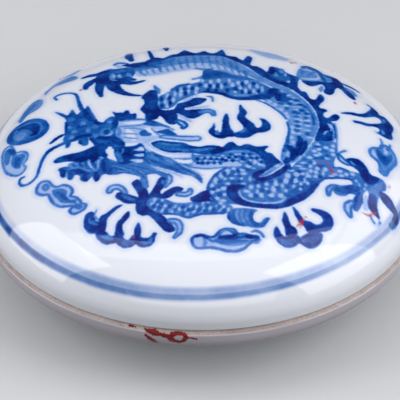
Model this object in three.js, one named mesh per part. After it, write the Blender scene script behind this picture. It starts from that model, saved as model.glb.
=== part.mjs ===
// A round porcelain case for seal paste: a domed lid on a shallow footed base, with the paste inside.
// Millimetres, +Z up. The origin is on the ground plane, under the centre of the foot ring.
import * as THREE from "three";

// The whole case.
const caseRadius = 37.3; // at the base's rim, its widest place
const seamHeight = 13; // the lid's rim meets the base's rim here

// Base, outside.
const rimBand = 1.2; // upright band under the rim
const rimChamfer = 0.6; // unglazed edge of the rim
const rimPull = 1.4; // how far the rounded rim runs down before it turns in
const hipInset = 2.1; // where the rounded rim passes into the taper, from the widest place
const hipDrop = 4.4; // below the seam
const hipSlope = THREE.MathUtils.degToRad(38); // of the outside there
const hipPullUp = 1.8;
const hipPullDown = 5.3;
const footInset = 14.3; // of the foot ring, from the widest place
const footSlope = THREE.MathUtils.degToRad(17); // of the outside where it meets the foot ring
const footPull = 4.2;
const footHeight = 1.4;
const footWidth = 2.4;
const footEdge = 0.4; // worn edge of the foot
const footRecess = 1.0; // hollow under the base, inside the foot ring

// Base, inside.
const collarThickness = 1.6; // the lid drops over this collar
const collarHeight = 2.2;
const collarClearance = 0.35;
const floorThickness = 2.6;
const wellFloorInset = 12.45; // of the flat floor's edge, from the well's wall
const wellShoulderDrop = 3; // below the seam, where the well starts to narrow
const wellWallPull = 3;
const wellFloorPull = 6;

// Lid.
const lidInset = 0.2; // of its widest place, from the base's rim
const lidRimInset = 0.1; // of its rim, from its widest place
const lidWidestRise = 1.6; // above the seam
const lidRimWidth = 2.1; // unglazed ring on which the lid stands
const lidEdge = 0.45; // rounding of the rim's outer edge
const lidWall = 2.6;
const crownInset = 10.1; // of the crown's edge, from the lid's widest place
const crownRise = 10.5; // of the crown's edge, above the seam
const crownSlope = THREE.MathUtils.degToRad(10); // at the crown's edge
const shoulderPull = 4.6; // how far the wall runs up before it turns in
const crownPull = 4.2; // how far the crown runs out before it turns down

// Seal paste.
const pasteGap = 0.3; // between the paste and the well
const pasteEdgeDrop = 3.6; // the paste's edge, below the seam
const pasteEdge = 0.25; // drawn in at its edge
const pasteCrown = 1.0; // rise of its middle over its edge

// Facets round each piece and along each stretch of a profile.
const around = 72;
const shoulderSteps = 12;
const hollowSteps = 10;
const crownSteps = 6;
const outsideSteps = 6;
const wellSteps = 9;
const collarSteps = 6;
const edgeSteps = 3;

// Sizes that follow.
const lidWidestRadius = caseRadius - lidInset;
const lidRimRadius = lidWidestRadius - lidRimInset;
const lidInnerRadius = lidRimRadius - lidRimWidth;
const collarRadius = lidInnerRadius - collarClearance;
const wellRadius = collarRadius - collarThickness;
const footRadius = caseRadius - footInset;
const crownRadius = lidWidestRadius - crownInset;
const crownBall = crownRadius / Math.sin(crownSlope); // radius of the crown's sphere
const crownBallHeight = seamHeight + crownRise - crownBall * Math.cos(crownSlope);

// Points on a stretch of a circle about (centreR, centreZ), from one angle to another, in radians.
function arc(centreR, centreZ, radius, from, to, steps) {
  const points = [];
  for (let i = 0; i <= steps; i++) {
    const angle = from + ((to - from) * i) / steps;
    points.push([centreR + radius * Math.cos(angle), centreZ + radius * Math.sin(angle)]);
  }
  return points;
}

// The point at a distance from another, in the direction of an angle above the level.
function away([r, z], distance, angle) {
  return [r + distance * Math.cos(angle), z + distance * Math.sin(angle)];
}

// Points on a cubic curve between two profile points, pulled towards two others.
function curve(start, pullStart, pullEnd, end, steps) {
  const made = new THREE.CubicBezierCurve(
    new THREE.Vector2(...start),
    new THREE.Vector2(...pullStart),
    new THREE.Vector2(...pullEnd),
    new THREE.Vector2(...end),
  );
  return made.getPoints(steps).map((p) => [p.x, p.y]);
}

// A turned solid from a profile of [radius, height] points that runs up the outside and back down the middle.
function turned(name, profile, material) {
  const points = [];
  for (const [r, z] of profile) {
    const last = points[points.length - 1];
    if (last && Math.hypot(last.x - r, last.y - z) < 0.01) continue;
    points.push(new THREE.Vector2(r, z));
  }
  const geometry = new THREE.LatheGeometry(points, around);
  geometry.rotateX(Math.PI / 2); // the lathe turns about Y, and the case stands along Z
  const mesh = new THREE.Mesh(geometry, material);
  mesh.name = name;
  return mesh;
}

// The top of a sphere about the axis, from a slope at its edge to the middle.
function cap(centreZ, radius, slope) {
  const points = arc(0, centreZ, radius, Math.PI / 2 - slope, Math.PI / 2, crownSteps);
  points[points.length - 1][0] = 0;
  return points;
}

// The lid's outer or inner face from the wall over the shoulder to the middle of the crown, moved in by a thickness.
function domeFace(inset, wallRadius, steps) {
  const wallHeight = seamHeight + lidWidestRise;
  const ball = crownBall - inset;
  const edge = [ball * Math.sin(crownSlope), crownBallHeight + ball * Math.cos(crownSlope)];
  const pull = crownPull * (1 - inset / crownRadius);
  const shoulder = curve(
    [wallRadius, wallHeight],
    [wallRadius, wallHeight + shoulderPull],
    away(edge, pull, -crownSlope),
    edge,
    steps,
  );
  return [...shoulder, ...cap(crownBallHeight, ball, crownSlope)];
}

function lid(material) {
  const outside = domeFace(0, lidWidestRadius, shoulderSteps);
  const inside = domeFace(lidWall, lidInnerRadius, hollowSteps).reverse();
  const edge = arc(lidRimRadius - lidEdge, seamHeight + lidEdge, lidEdge, -Math.PI / 2, 0, edgeSteps);
  return turned("lid", [...edge, ...outside, ...inside, [lidInnerRadius, seamHeight], edge[0]], material);
}

// The well's wall and floor, from its narrowest upright part down and in to the middle, moved in by a gap.
function wellFace(gap) {
  const top = [wellRadius - gap, seamHeight - wellShoulderDrop];
  const floor = [wellRadius - wellFloorInset - gap, footRecess + floorThickness + gap];
  const pullTop = [top[0], top[1] - wellWallPull];
  const pullFloor = [floor[0] + wellFloorPull, floor[1]];
  return [...curve(top, pullTop, pullFloor, floor, wellSteps), [0, floor[1]]];
}

function base(material) {
  const footTop = [footRadius, footHeight];
  const hip = [caseRadius - hipInset, seamHeight - hipDrop];
  const band = [caseRadius, seamHeight - rimBand];
  const footInner = footRadius - footWidth;
  const collarTop = seamHeight + collarHeight - collarThickness / 2;
  const profile = [
    [0, footRecess],
    [footInner, footRecess],
    [footInner, footEdge],
    [footInner + footEdge, 0],
    [footRadius - footEdge, 0],
    [footRadius, footEdge],
    ...curve(footTop, away(footTop, footPull, footSlope), away(hip, -hipPullDown, hipSlope), hip, outsideSteps),
    ...curve(hip, away(hip, hipPullUp, hipSlope), [band[0], band[1] - rimPull], band, outsideSteps),
    [caseRadius, seamHeight - rimChamfer],
    [caseRadius - rimChamfer, seamHeight],
    [collarRadius, seamHeight],
    ...arc(collarRadius - collarThickness / 2, collarTop, collarThickness / 2, 0, Math.PI, collarSteps),
    ...wellFace(0),
  ];
  return turned("base", profile, material);
}

function sealPaste(material) {
  const edgeRadius = wellRadius - pasteGap - pasteEdge;
  const edgeHeight = seamHeight - pasteEdgeDrop;
  const under = wellFace(pasteGap)
    .reverse()
    .filter(([, z]) => z < edgeHeight - pasteEdge);
  const ball = (edgeRadius ** 2 + pasteCrown ** 2) / (2 * pasteCrown);
  const top = cap(edgeHeight + pasteCrown - ball, ball, Math.asin(edgeRadius / ball));
  return turned("seal_paste", [...under, ...top], material);
}

const glazeAbove = new THREE.MeshStandardMaterial({ color: 0xe9edf6, roughness: 0.12, metalness: 0 });
const glazeBelow = new THREE.MeshStandardMaterial({ color: 0xe4e8f1, roughness: 0.14, metalness: 0 });
const cinnabar = new THREE.MeshStandardMaterial({ color: 0xb3141c, roughness: 0.42, metalness: 0 });

const sealPasteCase = new THREE.Group();
sealPasteCase.add(base(glazeBelow), sealPaste(cinnabar), lid(glazeAbove));

export default sealPasteCase;
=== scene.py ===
"""The looks of a round blue and white porcelain case for red seal paste."""
import math

import bpy
import numpy as np
from mathutils import Euler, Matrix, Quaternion, Vector


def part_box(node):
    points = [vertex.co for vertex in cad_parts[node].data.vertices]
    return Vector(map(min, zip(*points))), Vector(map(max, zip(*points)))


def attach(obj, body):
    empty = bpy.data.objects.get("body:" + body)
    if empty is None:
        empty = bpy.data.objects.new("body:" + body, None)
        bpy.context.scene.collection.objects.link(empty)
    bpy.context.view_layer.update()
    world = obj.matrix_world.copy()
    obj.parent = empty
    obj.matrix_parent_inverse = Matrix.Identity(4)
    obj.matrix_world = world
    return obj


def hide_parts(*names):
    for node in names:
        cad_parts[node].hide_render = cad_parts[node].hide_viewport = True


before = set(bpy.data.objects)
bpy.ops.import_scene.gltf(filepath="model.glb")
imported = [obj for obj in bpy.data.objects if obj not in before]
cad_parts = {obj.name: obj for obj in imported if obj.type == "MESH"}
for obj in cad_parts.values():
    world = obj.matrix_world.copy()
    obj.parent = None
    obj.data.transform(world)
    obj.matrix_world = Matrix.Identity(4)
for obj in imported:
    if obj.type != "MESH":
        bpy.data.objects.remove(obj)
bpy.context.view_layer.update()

MM = 0.001
lid_low, lid_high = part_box("lid")
base_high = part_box("base")[1]
paste_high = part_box("seal_paste")[1]

# Sizes in millimetres, from the frame where it holds them.
SEAM = lid_low.z / MM
APEX = lid_high.z / MM
LID_WIDEST = lid_high.x / MM
LID_RIM = LID_WIDEST - 0.1
LID_WIDEST_RISE = 1.6
LID_RIM_WIDTH = 2.1
LID_EDGE = 0.45
LID_WALL = 2.6
CROWN_RADIUS = LID_WIDEST - 10.1
CROWN_SLOPE = math.radians(10)
CROWN_BALL = CROWN_RADIUS / math.sin(CROWN_SLOPE)
CROWN_CENTRE = APEX - CROWN_BALL
SHOULDER_PULL = 4.6
CROWN_PULL = 4.2


def linear(hex_colour):
    """An sRGB hex value as linear RGBA."""
    channels = [int(hex_colour[i:i + 2], 16) / 255 for i in (1, 3, 5)]
    return [c / 12.92 if c <= 0.04045 else ((c + 0.055) / 1.055) ** 2.4 for c in channels] + [1.0]


def node(tree, kind, inputs=None, out=0, **settings):
    """Adds a node and gives one of its outputs, if it has any.

    inputs has an input's name or number against its value, its hex colour or the output that feeds it.
    """
    made = tree.nodes.new("ShaderNode" + kind)
    for name, value in settings.items():
        setattr(made, name, value)
    for key, value in (inputs or {}).items():
        if isinstance(value, bpy.types.NodeSocket):
            tree.links.new(value, made.inputs[key])
        else:
            made.inputs[key].default_value = linear(value) if isinstance(value, str) else value
    return made.outputs[out] if made.outputs else None


def new_material(name):
    material = bpy.data.materials.new(name)
    material.use_nodes = True
    material.node_tree.nodes.clear()
    return material, material.node_tree


# Turned shapes.

def bezier(start, pull_start, pull_end, end, steps):
    """Points on a cubic curve between two profile points, pulled towards two others."""
    t = np.linspace(0, 1, steps + 1)[:, None]
    left = 1 - t
    start, pull_start, pull_end, end = map(np.array, (start, pull_start, pull_end, end))
    return left ** 3 * start + 3 * left ** 2 * t * pull_start + 3 * left * t ** 2 * pull_end + t ** 3 * end


def dome_profile(inset, wall_radius, steps):
    """[radius, height] from the wall over the shoulder to the crown's edge, moved in by a thickness."""
    wall = (wall_radius, SEAM + LID_WIDEST_RISE)
    ball = CROWN_BALL - inset
    edge = (ball * math.sin(CROWN_SLOPE), CROWN_CENTRE + ball * math.cos(CROWN_SLOPE))
    pull = CROWN_PULL * (1 - inset / CROWN_RADIUS)
    pull_end = (edge[0] + pull * math.cos(CROWN_SLOPE), edge[1] - pull * math.sin(CROWN_SLOPE))
    return bezier(wall, (wall[0], wall[1] + SHOULDER_PULL), pull_end, edge, steps)


SHOULDER = dome_profile(0, LID_WIDEST, 4000)


def lid_height(radius):
    """Height of the lid's outside over a plan radius."""
    on_crown = CROWN_CENTRE + np.sqrt(CROWN_BALL ** 2 - np.minimum(radius, CROWN_RADIUS) ** 2)
    on_shoulder = np.interp(radius, SHOULDER[::-1, 0], SHOULDER[::-1, 1])
    return np.where(radius <= CROWN_RADIUS, on_crown, on_shoulder)


def spaced(profile, step):
    """The profile's points set a step apart along its length."""
    lengths = np.concatenate([[0], np.cumsum(np.hypot(*np.diff(profile, axis=0).T))])
    count = max(1, round(lengths[-1] / step))
    at = np.linspace(0, lengths[-1], count + 1)
    return np.stack([np.interp(at, lengths, profile[:, 0]), np.interp(at, lengths, profile[:, 1])], axis=1)


def round_arc(centre, radius, start, stop, steps):
    """Points on part of a circle, from one angle in degrees to another."""
    angle = np.radians(np.linspace(start, stop, steps + 1))
    return np.stack([centre[0] + radius * np.cos(angle), centre[1] + radius * np.sin(angle)], axis=1)


def ring_faces(first, rows, around):
    """Quads between rings of vertices, each ring starting where the one before ends."""
    row = np.arange(rows)[:, None] * around + first
    at = np.arange(around)[None, :]
    after = (at + 1) % around
    return np.stack([row + at, row + around + at, row + around + after, row + after], axis=-1).reshape(-1, 4)


def mesh_object(name, points, faces, material_index=None):
    """A smooth mesh object from points in millimetres and lists of faces."""
    mesh = bpy.data.meshes.new(name)
    mesh.from_pydata((np.asarray(points) * MM).tolist(), [], faces)
    mesh.polygons.foreach_set("use_smooth", [True] * len(mesh.polygons))
    if material_index is not None:
        mesh.polygons.foreach_set("material_index", material_index)
    mesh.update()
    made = bpy.data.objects.new(name, mesh)
    bpy.context.scene.collection.objects.link(made)
    return made


def around_axis(profile, count):
    """Points of a turned shape, ring after ring."""
    angle = 2 * math.pi * np.arange(count) / count
    profile = np.asarray(profile)
    x = profile[:, 0:1] * np.cos(angle)
    y = profile[:, 0:1] * np.sin(angle)
    z = np.repeat(profile[:, 1:2], count, axis=1)
    return np.stack([x, y, z], axis=-1).reshape(-1, 3)


DISC_STEP = 0.21
DISC_RINGS = 160
LID_AROUND = 2 * DISC_RINGS


def disc_points_and_faces(step, rings):
    """A flat disc. Its ring k has 6k points, so the triangles are alike from the middle to the edge."""
    points = [np.zeros((1, 2))]
    for ring in range(1, rings + 1):
        angle = 2 * math.pi * np.arange(6 * ring) / (6 * ring)
        points.append(step * ring * np.stack([np.cos(angle), np.sin(angle)], axis=1))
    faces = []
    start = 0
    for ring in range(rings):
        inner_count, outer_count = max(1, 6 * ring), 6 * (ring + 1)
        outer = start + inner_count
        for sector in range(6):
            i = np.arange(ring + 1)
            a = start + (sector * ring + i) % inner_count
            b = outer + sector * (ring + 1) + i
            c = outer + (sector * (ring + 1) + i + 1) % outer_count
            faces += np.stack([a, b, c], axis=1).tolist()
            if ring:
                i = np.arange(ring)
                a = start + sector * ring + i
                b = outer + sector * (ring + 1) + i + 1
                c = start + (sector * ring + i + 1) % inner_count
                faces += np.stack([a, b, c], axis=1).tolist()
        start = outer
    return np.concatenate(points), faces


def lid_mesh():
    """Outside painted and glazed, rim bare, inside glazed."""
    flat, faces = disc_points_and_faces(DISC_STEP, DISC_RINGS)
    points = np.column_stack([flat, lid_height(np.hypot(*flat.T))])
    disc_edge = DISC_STEP * DISC_RINGS
    shoulder = SHOULDER[::-1]
    shoulder = spaced(shoulder[shoulder[:, 0] > disc_edge + 0.25], 0.27)
    rim_corner = round_arc((LID_RIM - LID_EDGE, SEAM + LID_EDGE), LID_EDGE, 0, -90, 5)
    wall = spaced(np.array([shoulder[-1], rim_corner[0]]), 0.3)[1:-1]
    inner = LID_RIM - LID_RIM_WIDTH
    rim = np.array([(LID_RIM - 1, SEAM), (inner + 0.15, SEAM), (inner, SEAM + 0.15)])
    hollow = spaced(dome_profile(LID_WALL, inner, 200), 1.0)
    ball = CROWN_BALL - LID_WALL
    ceiling = [(r, CROWN_CENTRE + math.sqrt(ball ** 2 - r ** 2)) for r in (22, 17, 12, 7, 3)]
    profile = np.concatenate([shoulder, wall, rim_corner, rim, hollow, ceiling])
    first = len(points)
    last_ring = first - 6 * DISC_RINGS
    for j in range(LID_AROUND):
        fine = [last_ring + (3 * j + i) % (6 * DISC_RINGS) for i in range(4)]
        coarse = [first + j, first + (j + 1) % LID_AROUND]
        faces += [[fine[0], coarse[0], fine[1]], [fine[1], coarse[0], coarse[1]]]
        faces += [[fine[1], coarse[1], fine[2]], [fine[2], coarse[1], fine[3]]]
    glazed_outside = len(faces)
    points = np.concatenate([points, around_axis(profile, LID_AROUND)])
    faces += ring_faces(first, len(profile) - 1, LID_AROUND).tolist()
    centre = len(points)
    points = np.concatenate([points, [(0, 0, CROWN_CENTRE + ball)]])
    edge = centre - LID_AROUND
    faces += [[edge + j, centre, edge + (j + 1) % LID_AROUND] for j in range(LID_AROUND)]
    bare_from = len(shoulder) + len(wall) + 2
    bare_to = len(shoulder) + len(wall) + len(rim_corner) + len(rim) - 1
    kinds = np.zeros(len(faces), dtype=int)
    rows = glazed_outside + np.array([bare_from, bare_to]) * LID_AROUND
    kinds[rows[0]:rows[1]] = 1
    kinds[rows[1]:] = 2
    return mesh_object("painted_lid", points, faces, kinds)


BASE_WIDEST = base_high.x / MM
COLLAR_RADIUS = LID_RIM - LID_RIM_WIDTH - 0.35
WELL_RADIUS = COLLAR_RADIUS - 1.6
COLLAR_TOP = base_high.z / MM
FOOT_RADIUS = BASE_WIDEST - 14.3
FOOT_INNER = FOOT_RADIUS - 2.4
UNDER = 1.0
WELL_FLOOR = 3.6


def away(point, distance, degrees):
    """The point at a distance from another, in the direction of an angle above the level."""
    angle = math.radians(degrees)
    return point[0] + distance * math.cos(angle), point[1] + distance * math.sin(angle)


def outer_wall():
    """The base's outside from the rim's band down to the foot."""
    hip = (BASE_WIDEST - 2.1, SEAM - 4.4)
    band = (BASE_WIDEST, SEAM - 1.2)
    foot = (FOOT_RADIUS, 1.4)
    upper = bezier(band, (band[0], band[1] - 1.4), away(hip, 1.8, 38), hip, 60)
    lower = bezier(hip, away(hip, -5.3, 38), away(foot, 4.2, 17), foot, 120)
    return np.concatenate([upper, lower[1:]])


def base_mesh():
    """From the middle of the well over the rim, down the outside and in to the middle of the underside.

    Faces: 0 glazed, 1 bare at the rim, 2 glazed inside the well, 3 bare at the foot, 4 smeared with paste.
    """
    well = bezier((WELL_RADIUS, SEAM - 3), (WELL_RADIUS, SEAM - 6), (WELL_RADIUS - 6.45, WELL_FLOOR),
                  (WELL_RADIUS - 12.45, WELL_FLOOR), 60)[::-1]
    floor = np.array([(r, WELL_FLOOR) for r in (3, 7, 11, 15, 18)])
    middle = (COLLAR_RADIUS + WELL_RADIUS) / 2
    rounding = (COLLAR_RADIUS - WELL_RADIUS) / 2
    top = COLLAR_TOP - rounding
    inside = np.concatenate([floor, spaced(well, 0.9), [(WELL_RADIUS, SEAM - 1), (WELL_RADIUS, top - 0.7)]])
    ledge = [(COLLAR_RADIUS, SEAM + 0.3), (COLLAR_RADIUS + 0.12, SEAM + 0.06), (COLLAR_RADIUS + 0.4, SEAM)]
    chamfer = [(BASE_WIDEST - 0.72, SEAM), (BASE_WIDEST - 0.58, SEAM - 0.05),
               (BASE_WIDEST - 0.3, SEAM - 0.32), (BASE_WIDEST - 0.1, SEAM - 0.52)]
    bare = np.concatenate([round_arc((middle, top), rounding, 180, 0, 12), ledge, chamfer])
    wall = outer_wall()
    bead = [(BASE_WIDEST, SEAM - 0.62), (BASE_WIDEST + 0.03, SEAM - 0.74), (BASE_WIDEST, SEAM - 0.92)]
    outside = np.concatenate([bead, spaced(wall, 0.6)[:-1], [(FOOT_RADIUS, 1.05)]])
    foot = np.concatenate([[(FOOT_RADIUS, 0.8)], round_arc((FOOT_RADIUS - 0.4, 0.4), 0.4, 0, -90, 4),
                           round_arc((FOOT_INNER + 0.4, 0.4), 0.4, -90, -180, 4), [(FOOT_INNER, 0.75)]])
    under = np.array([(FOOT_INNER - 0.05, UNDER - 0.08), (FOOT_INNER - 0.3, UNDER)] +
                     [(r, UNDER) for r in (17, 13, 9, 5, 2)])
    runs = ((2, inside), (1, bare), (0, outside), (3, foot), (0, under))
    around = 360
    rows = np.concatenate([np.full(len(run), kind) for kind, run in runs])
    points = around_axis(np.concatenate([run for kind, run in runs]), around)
    faces = ring_faces(0, len(rows) - 1, around).tolist()
    kinds = [kind for kind in rows[1:] for j in range(around)]
    low_row = len(points) - around
    points = np.concatenate([points, [(0, 0, WELL_FLOOR), (0, 0, UNDER)]])
    faces += [[len(points) - 2, j, (j + 1) % around] for j in range(around)]
    faces += [[len(points) - 1, low_row + (j + 1) % around, low_row + j] for j in range(around)]
    kinds += [2] * around + [0] * around
    smear_points, smear_faces = rim_smear(len(points))
    points = np.concatenate([points, smear_points])
    kinds += [4] * len(smear_faces)
    return mesh_object("glazed_base", points, faces + smear_faces, kinds)


def rim_smear(first):
    """Paste wiped on the front of the rim, a thin film over it.

    It is painted on a strip with the way round the rim as x, in millimetres, and the way down it as y.
    """
    step = 0.13
    across = np.arange(-12.5, 0.2, step)
    down = np.arange(0.1, 3.5, step)
    flat = np.stack(np.meshgrid(across, down), axis=-1).reshape(-1, 2)
    art = Painting(flat)
    for widths, line in RIM_SMEARS:
        art.stroke("smear", widths, line)
    x, y = flat.T
    ragged = 0.09 * np.sin(9 * x + 2 * np.sin(7 * y)) * np.sin(11 * y + 3 * x)
    depth = art.layers["smear"] + ragged
    path = np.concatenate([[(BASE_WIDEST - 0.6, SEAM), (BASE_WIDEST, SEAM - 0.6)], outer_wall()])
    lengths = np.concatenate([[0], np.cumsum(np.hypot(*np.diff(path, axis=0).T))])
    raised = 0.04 + 0.12 * np.clip(depth, 0, 0.4)
    radius = np.interp(y, lengths, path[:, 0]) + raised
    height = np.interp(y, lengths, path[:, 1]) + raised * 0.3
    angle = x / BASE_WIDEST - math.pi / 2
    points = np.stack([radius * np.cos(angle), radius * np.sin(angle), height], axis=1)
    row = np.arange(len(down) - 1)[:, None] * len(across) + np.arange(len(across) - 1)[None, :]
    quads = np.stack([row, row + len(across), row + len(across) + 1, row + 1], axis=-1).reshape(-1, 4)
    painted = quads[depth[quads].mean(axis=1) > 0]
    return points, (painted + first).tolist()


PASTE_STEP = 0.45
PASTE_RINGS = 72
# Where square seals were pressed in: x, y, half the seal's side, and its turn in degrees.
SEAL_DENTS = ((5.5, 3.5, 9.5, 12), (-10.5, -8, 7, -24), (-6, 14, 5.5, 38))


def paste_mesh():
    """A worked pad of paste: mounded, stirred round by the spatula and dented by seals."""
    flat, faces = disc_points_and_faces(PASTE_STEP, PASTE_RINGS)
    x, y = flat.T
    radius = np.hypot(x, y)
    out = radius / (PASTE_STEP * PASTE_RINGS)
    stirred = np.sin(3 * np.arctan2(y, x) + 0.42 * radius + 0.8 * np.sin(0.3 * x))
    stirred = stirred * 0.16 * np.sin(math.pi * out)
    lumps = 0.12 * np.sin(0.71 * x + 1.3) * np.sin(0.63 * y + 0.4 + 0.5 * np.sin(0.4 * x))
    fine = 0.05 * np.sin(2.3 * x + np.sin(1.9 * y)) * np.sin(2.6 * y + 1)
    height = paste_high.z / MM - 0.35 - 0.75 * out ** 2 + stirred + lumps + fine
    for seal_x, seal_y, half, turn in SEAL_DENTS:
        cosine, sine = math.cos(math.radians(turn)), math.sin(math.radians(turn))
        along = np.abs((x - seal_x) * cosine + (y - seal_y) * sine)
        across = np.abs((y - seal_y) * cosine - (x - seal_x) * sine)
        off = np.maximum(along, across) - half
        height = height - 0.3 / (1 + np.exp(off * 5)) + 0.14 * np.exp(-((off - 0.7) / 0.6) ** 2)
    height = height - 1.6 * np.clip(out - 0.93, 0, 1) / 0.07 * 0.5
    points = np.column_stack([flat, height])
    skirt = np.array([(WELL_RADIUS - 0.45, SEAM - 5.2), (WELL_RADIUS - 1.2, SEAM - 6.2)])
    around = 6 * PASTE_RINGS
    points = np.concatenate([points, around_axis(skirt, around)])
    faces = faces + ring_faces(len(flat) - around, 2, around).tolist()
    return mesh_object("worked_paste", points, faces)


# Brush work. REACH is how far outside a stroke its edge is still felt, in millimetres. The figures of
# each stroke are tenths of a millimetre.

REACH = 1.1
TENTHS = 10
LAYERS = ("pale", "wash", "mid", "deep", "dark", "smear")


def smooth(points, closed=False, steps=5):
    """Points in millimetres along a smooth curve through the given ones in tenths."""
    p = np.array(points) / TENTHS
    p = np.vstack([p[-1], p, p[:2]]) if closed else np.vstack([2 * p[0] - p[1], p, 2 * p[-1] - p[-2]])
    t = np.linspace(0, 1, steps, endpoint=False)[:, None]
    runs = [0.5 * (2 * b + (c - a) * t + (2 * a - 5 * b + 4 * c - d) * t ** 2
                   + (3 * b - a - 3 * c + d) * t ** 3)
            for a, b, c, d in zip(p, p[1:], p[2:], p[3:])]
    return np.vstack(runs if closed else runs + [p[-2:-1]])


def beside(places, line):
    """Each place's distance to a line, and how far along the line it is."""
    a, ab = line[:-1], np.diff(line, axis=0)
    length = np.hypot(*ab.T)
    start = np.concatenate([[0], np.cumsum(length)[:-1]])
    from_a = places[:, None, :] - a[None]
    t = np.clip((from_a * ab).sum(-1) / (length ** 2 + 1e-9), 0, 1)
    distance = np.hypot(*np.moveaxis(from_a - t[..., None] * ab, -1, 0))
    k = distance.argmin(1)
    row = np.arange(len(places))
    return distance[row, k], start[k] + t[row, k] * length[k]


def inside(places, outline):
    """Depth inside a closed outline, negative outside it."""
    a = outline
    b = np.roll(outline, -1, axis=0)
    distance = beside(places, np.vstack([outline, outline[:1]]))[0]
    x, y = places[:, 0:1], places[:, 1:2]
    spans = (a[:, 1] > y) != (b[:, 1] > y)
    rise = np.where(np.abs(b[:, 1] - a[:, 1]) < 1e-9, 1e-9, b[:, 1] - a[:, 1])
    crosses = spans & (x < (b[:, 0] - a[:, 0]) * (y - a[:, 1]) / rise + a[:, 0])
    return np.where(crosses.sum(1) % 2 == 1, distance, -distance)


class Painting:
    """Brush work seen from above. A layer holds how many millimetres each place lies inside its paint."""

    def __init__(self, places):
        self.places = places
        self.layers = {name: np.full(len(places), -REACH) for name in LAYERS}

    def near(self, line, reach):
        low, high = line.min(0) - reach, line.max(0) + reach
        return np.nonzero(((self.places >= low) & (self.places <= high)).all(1))[0]

    def lay(self, tone, near, depth):
        self.layers[tone][near] = np.maximum(self.layers[tone][near], depth)

    def lift(self, near, depth):
        """Leaves a bare place."""
        for tone in LAYERS[:-1]:
            self.layers[tone][near] = np.minimum(self.layers[tone][near], -depth)

    def put(self, tone, near, depth):
        """Lays a tone. The tone bare wipes paint off, and over_ before a tone wipes first."""
        if tone == "bare" or tone.startswith("over_"):
            self.lift(near, depth)
        if tone != "bare":
            self.lay(tone.removeprefix("over_"), near, depth)

    def band(self, widths, points, closed=False):
        """The places near a smooth line, and how deep they lie in its width, which changes along it."""
        line = smooth(points, closed)
        if closed:
            line = np.vstack([line, line[:1]])
        widths = np.atleast_1d(widths) / TENTHS
        near = self.near(line, widths.max() / 2 + REACH)
        if not len(near):
            return near, np.zeros(0)
        distance, far = beside(self.places[near], line)
        total = np.hypot(*np.diff(line, axis=0).T).sum()
        return near, np.interp(far / total, np.linspace(0, 1, len(widths)), widths) / 2 - distance

    def stroke(self, tone, widths, points, closed=False):
        """One brush stroke."""
        self.put(tone, *self.band(widths, points, closed))

    def fill(self, tone, points, edge=None, edge_width=3.5):
        """A filled outline, with a darker line round it where edge names a tone."""
        outline = smooth(points, True)
        near = self.near(outline, REACH)
        if len(near):
            depth = inside(self.places[near], outline)
            self.put(tone, near, depth)
            if edge:
                self.lay(edge, near, edge_width / TENTHS / 2 - np.abs(depth))

    def tube(self, widths, points, edge="dark", edge_width=3, inner="pale"):
        """A claw, horn or lock: pale with a thin dark line round it."""
        near, depth = self.band(widths, points)
        edge_width = edge_width / TENTHS
        self.lift(near, depth + edge_width / 2)
        if inner != "bare":
            self.lay(inner, near, depth)
        self.lay(edge, near, edge_width / 2 - np.abs(depth))

    def strokes(self, tone, *lines):
        for widths, points in lines:
            self.stroke(tone, widths, points)

    def fills(self, tone, *outlines):
        for points in outlines:
            self.fill(tone, points)

    def spots(self, tone, radii, points, lean=0):
        """Oval dabs with the brush's tip, no two quite alike, leaning over by an angle in degrees."""
        sine, cosine = np.sin(np.radians(lean)), np.cos(np.radians(lean))
        radii = np.array(radii) / TENTHS
        for x, y in np.array(points) / TENTHS:
            place = np.array([(x, y)])
            near = self.near(place, radii.max() * 1.2 + 0.4)
            unlike = 1 + 0.14 * np.sin(12.99 * x + 78.23 * y)
            reach = radii * (unlike, 2 - unlike)
            right, up = (self.places[near] - place).T
            far = np.hypot((right * cosine - up * sine) / reach[0], (right * sine + up * cosine) / reach[1])
            self.put(tone, near, (1 - far) * reach.min())


# The dragon and what goes round it, in plan: x to the right and y away from the viewer.


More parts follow.
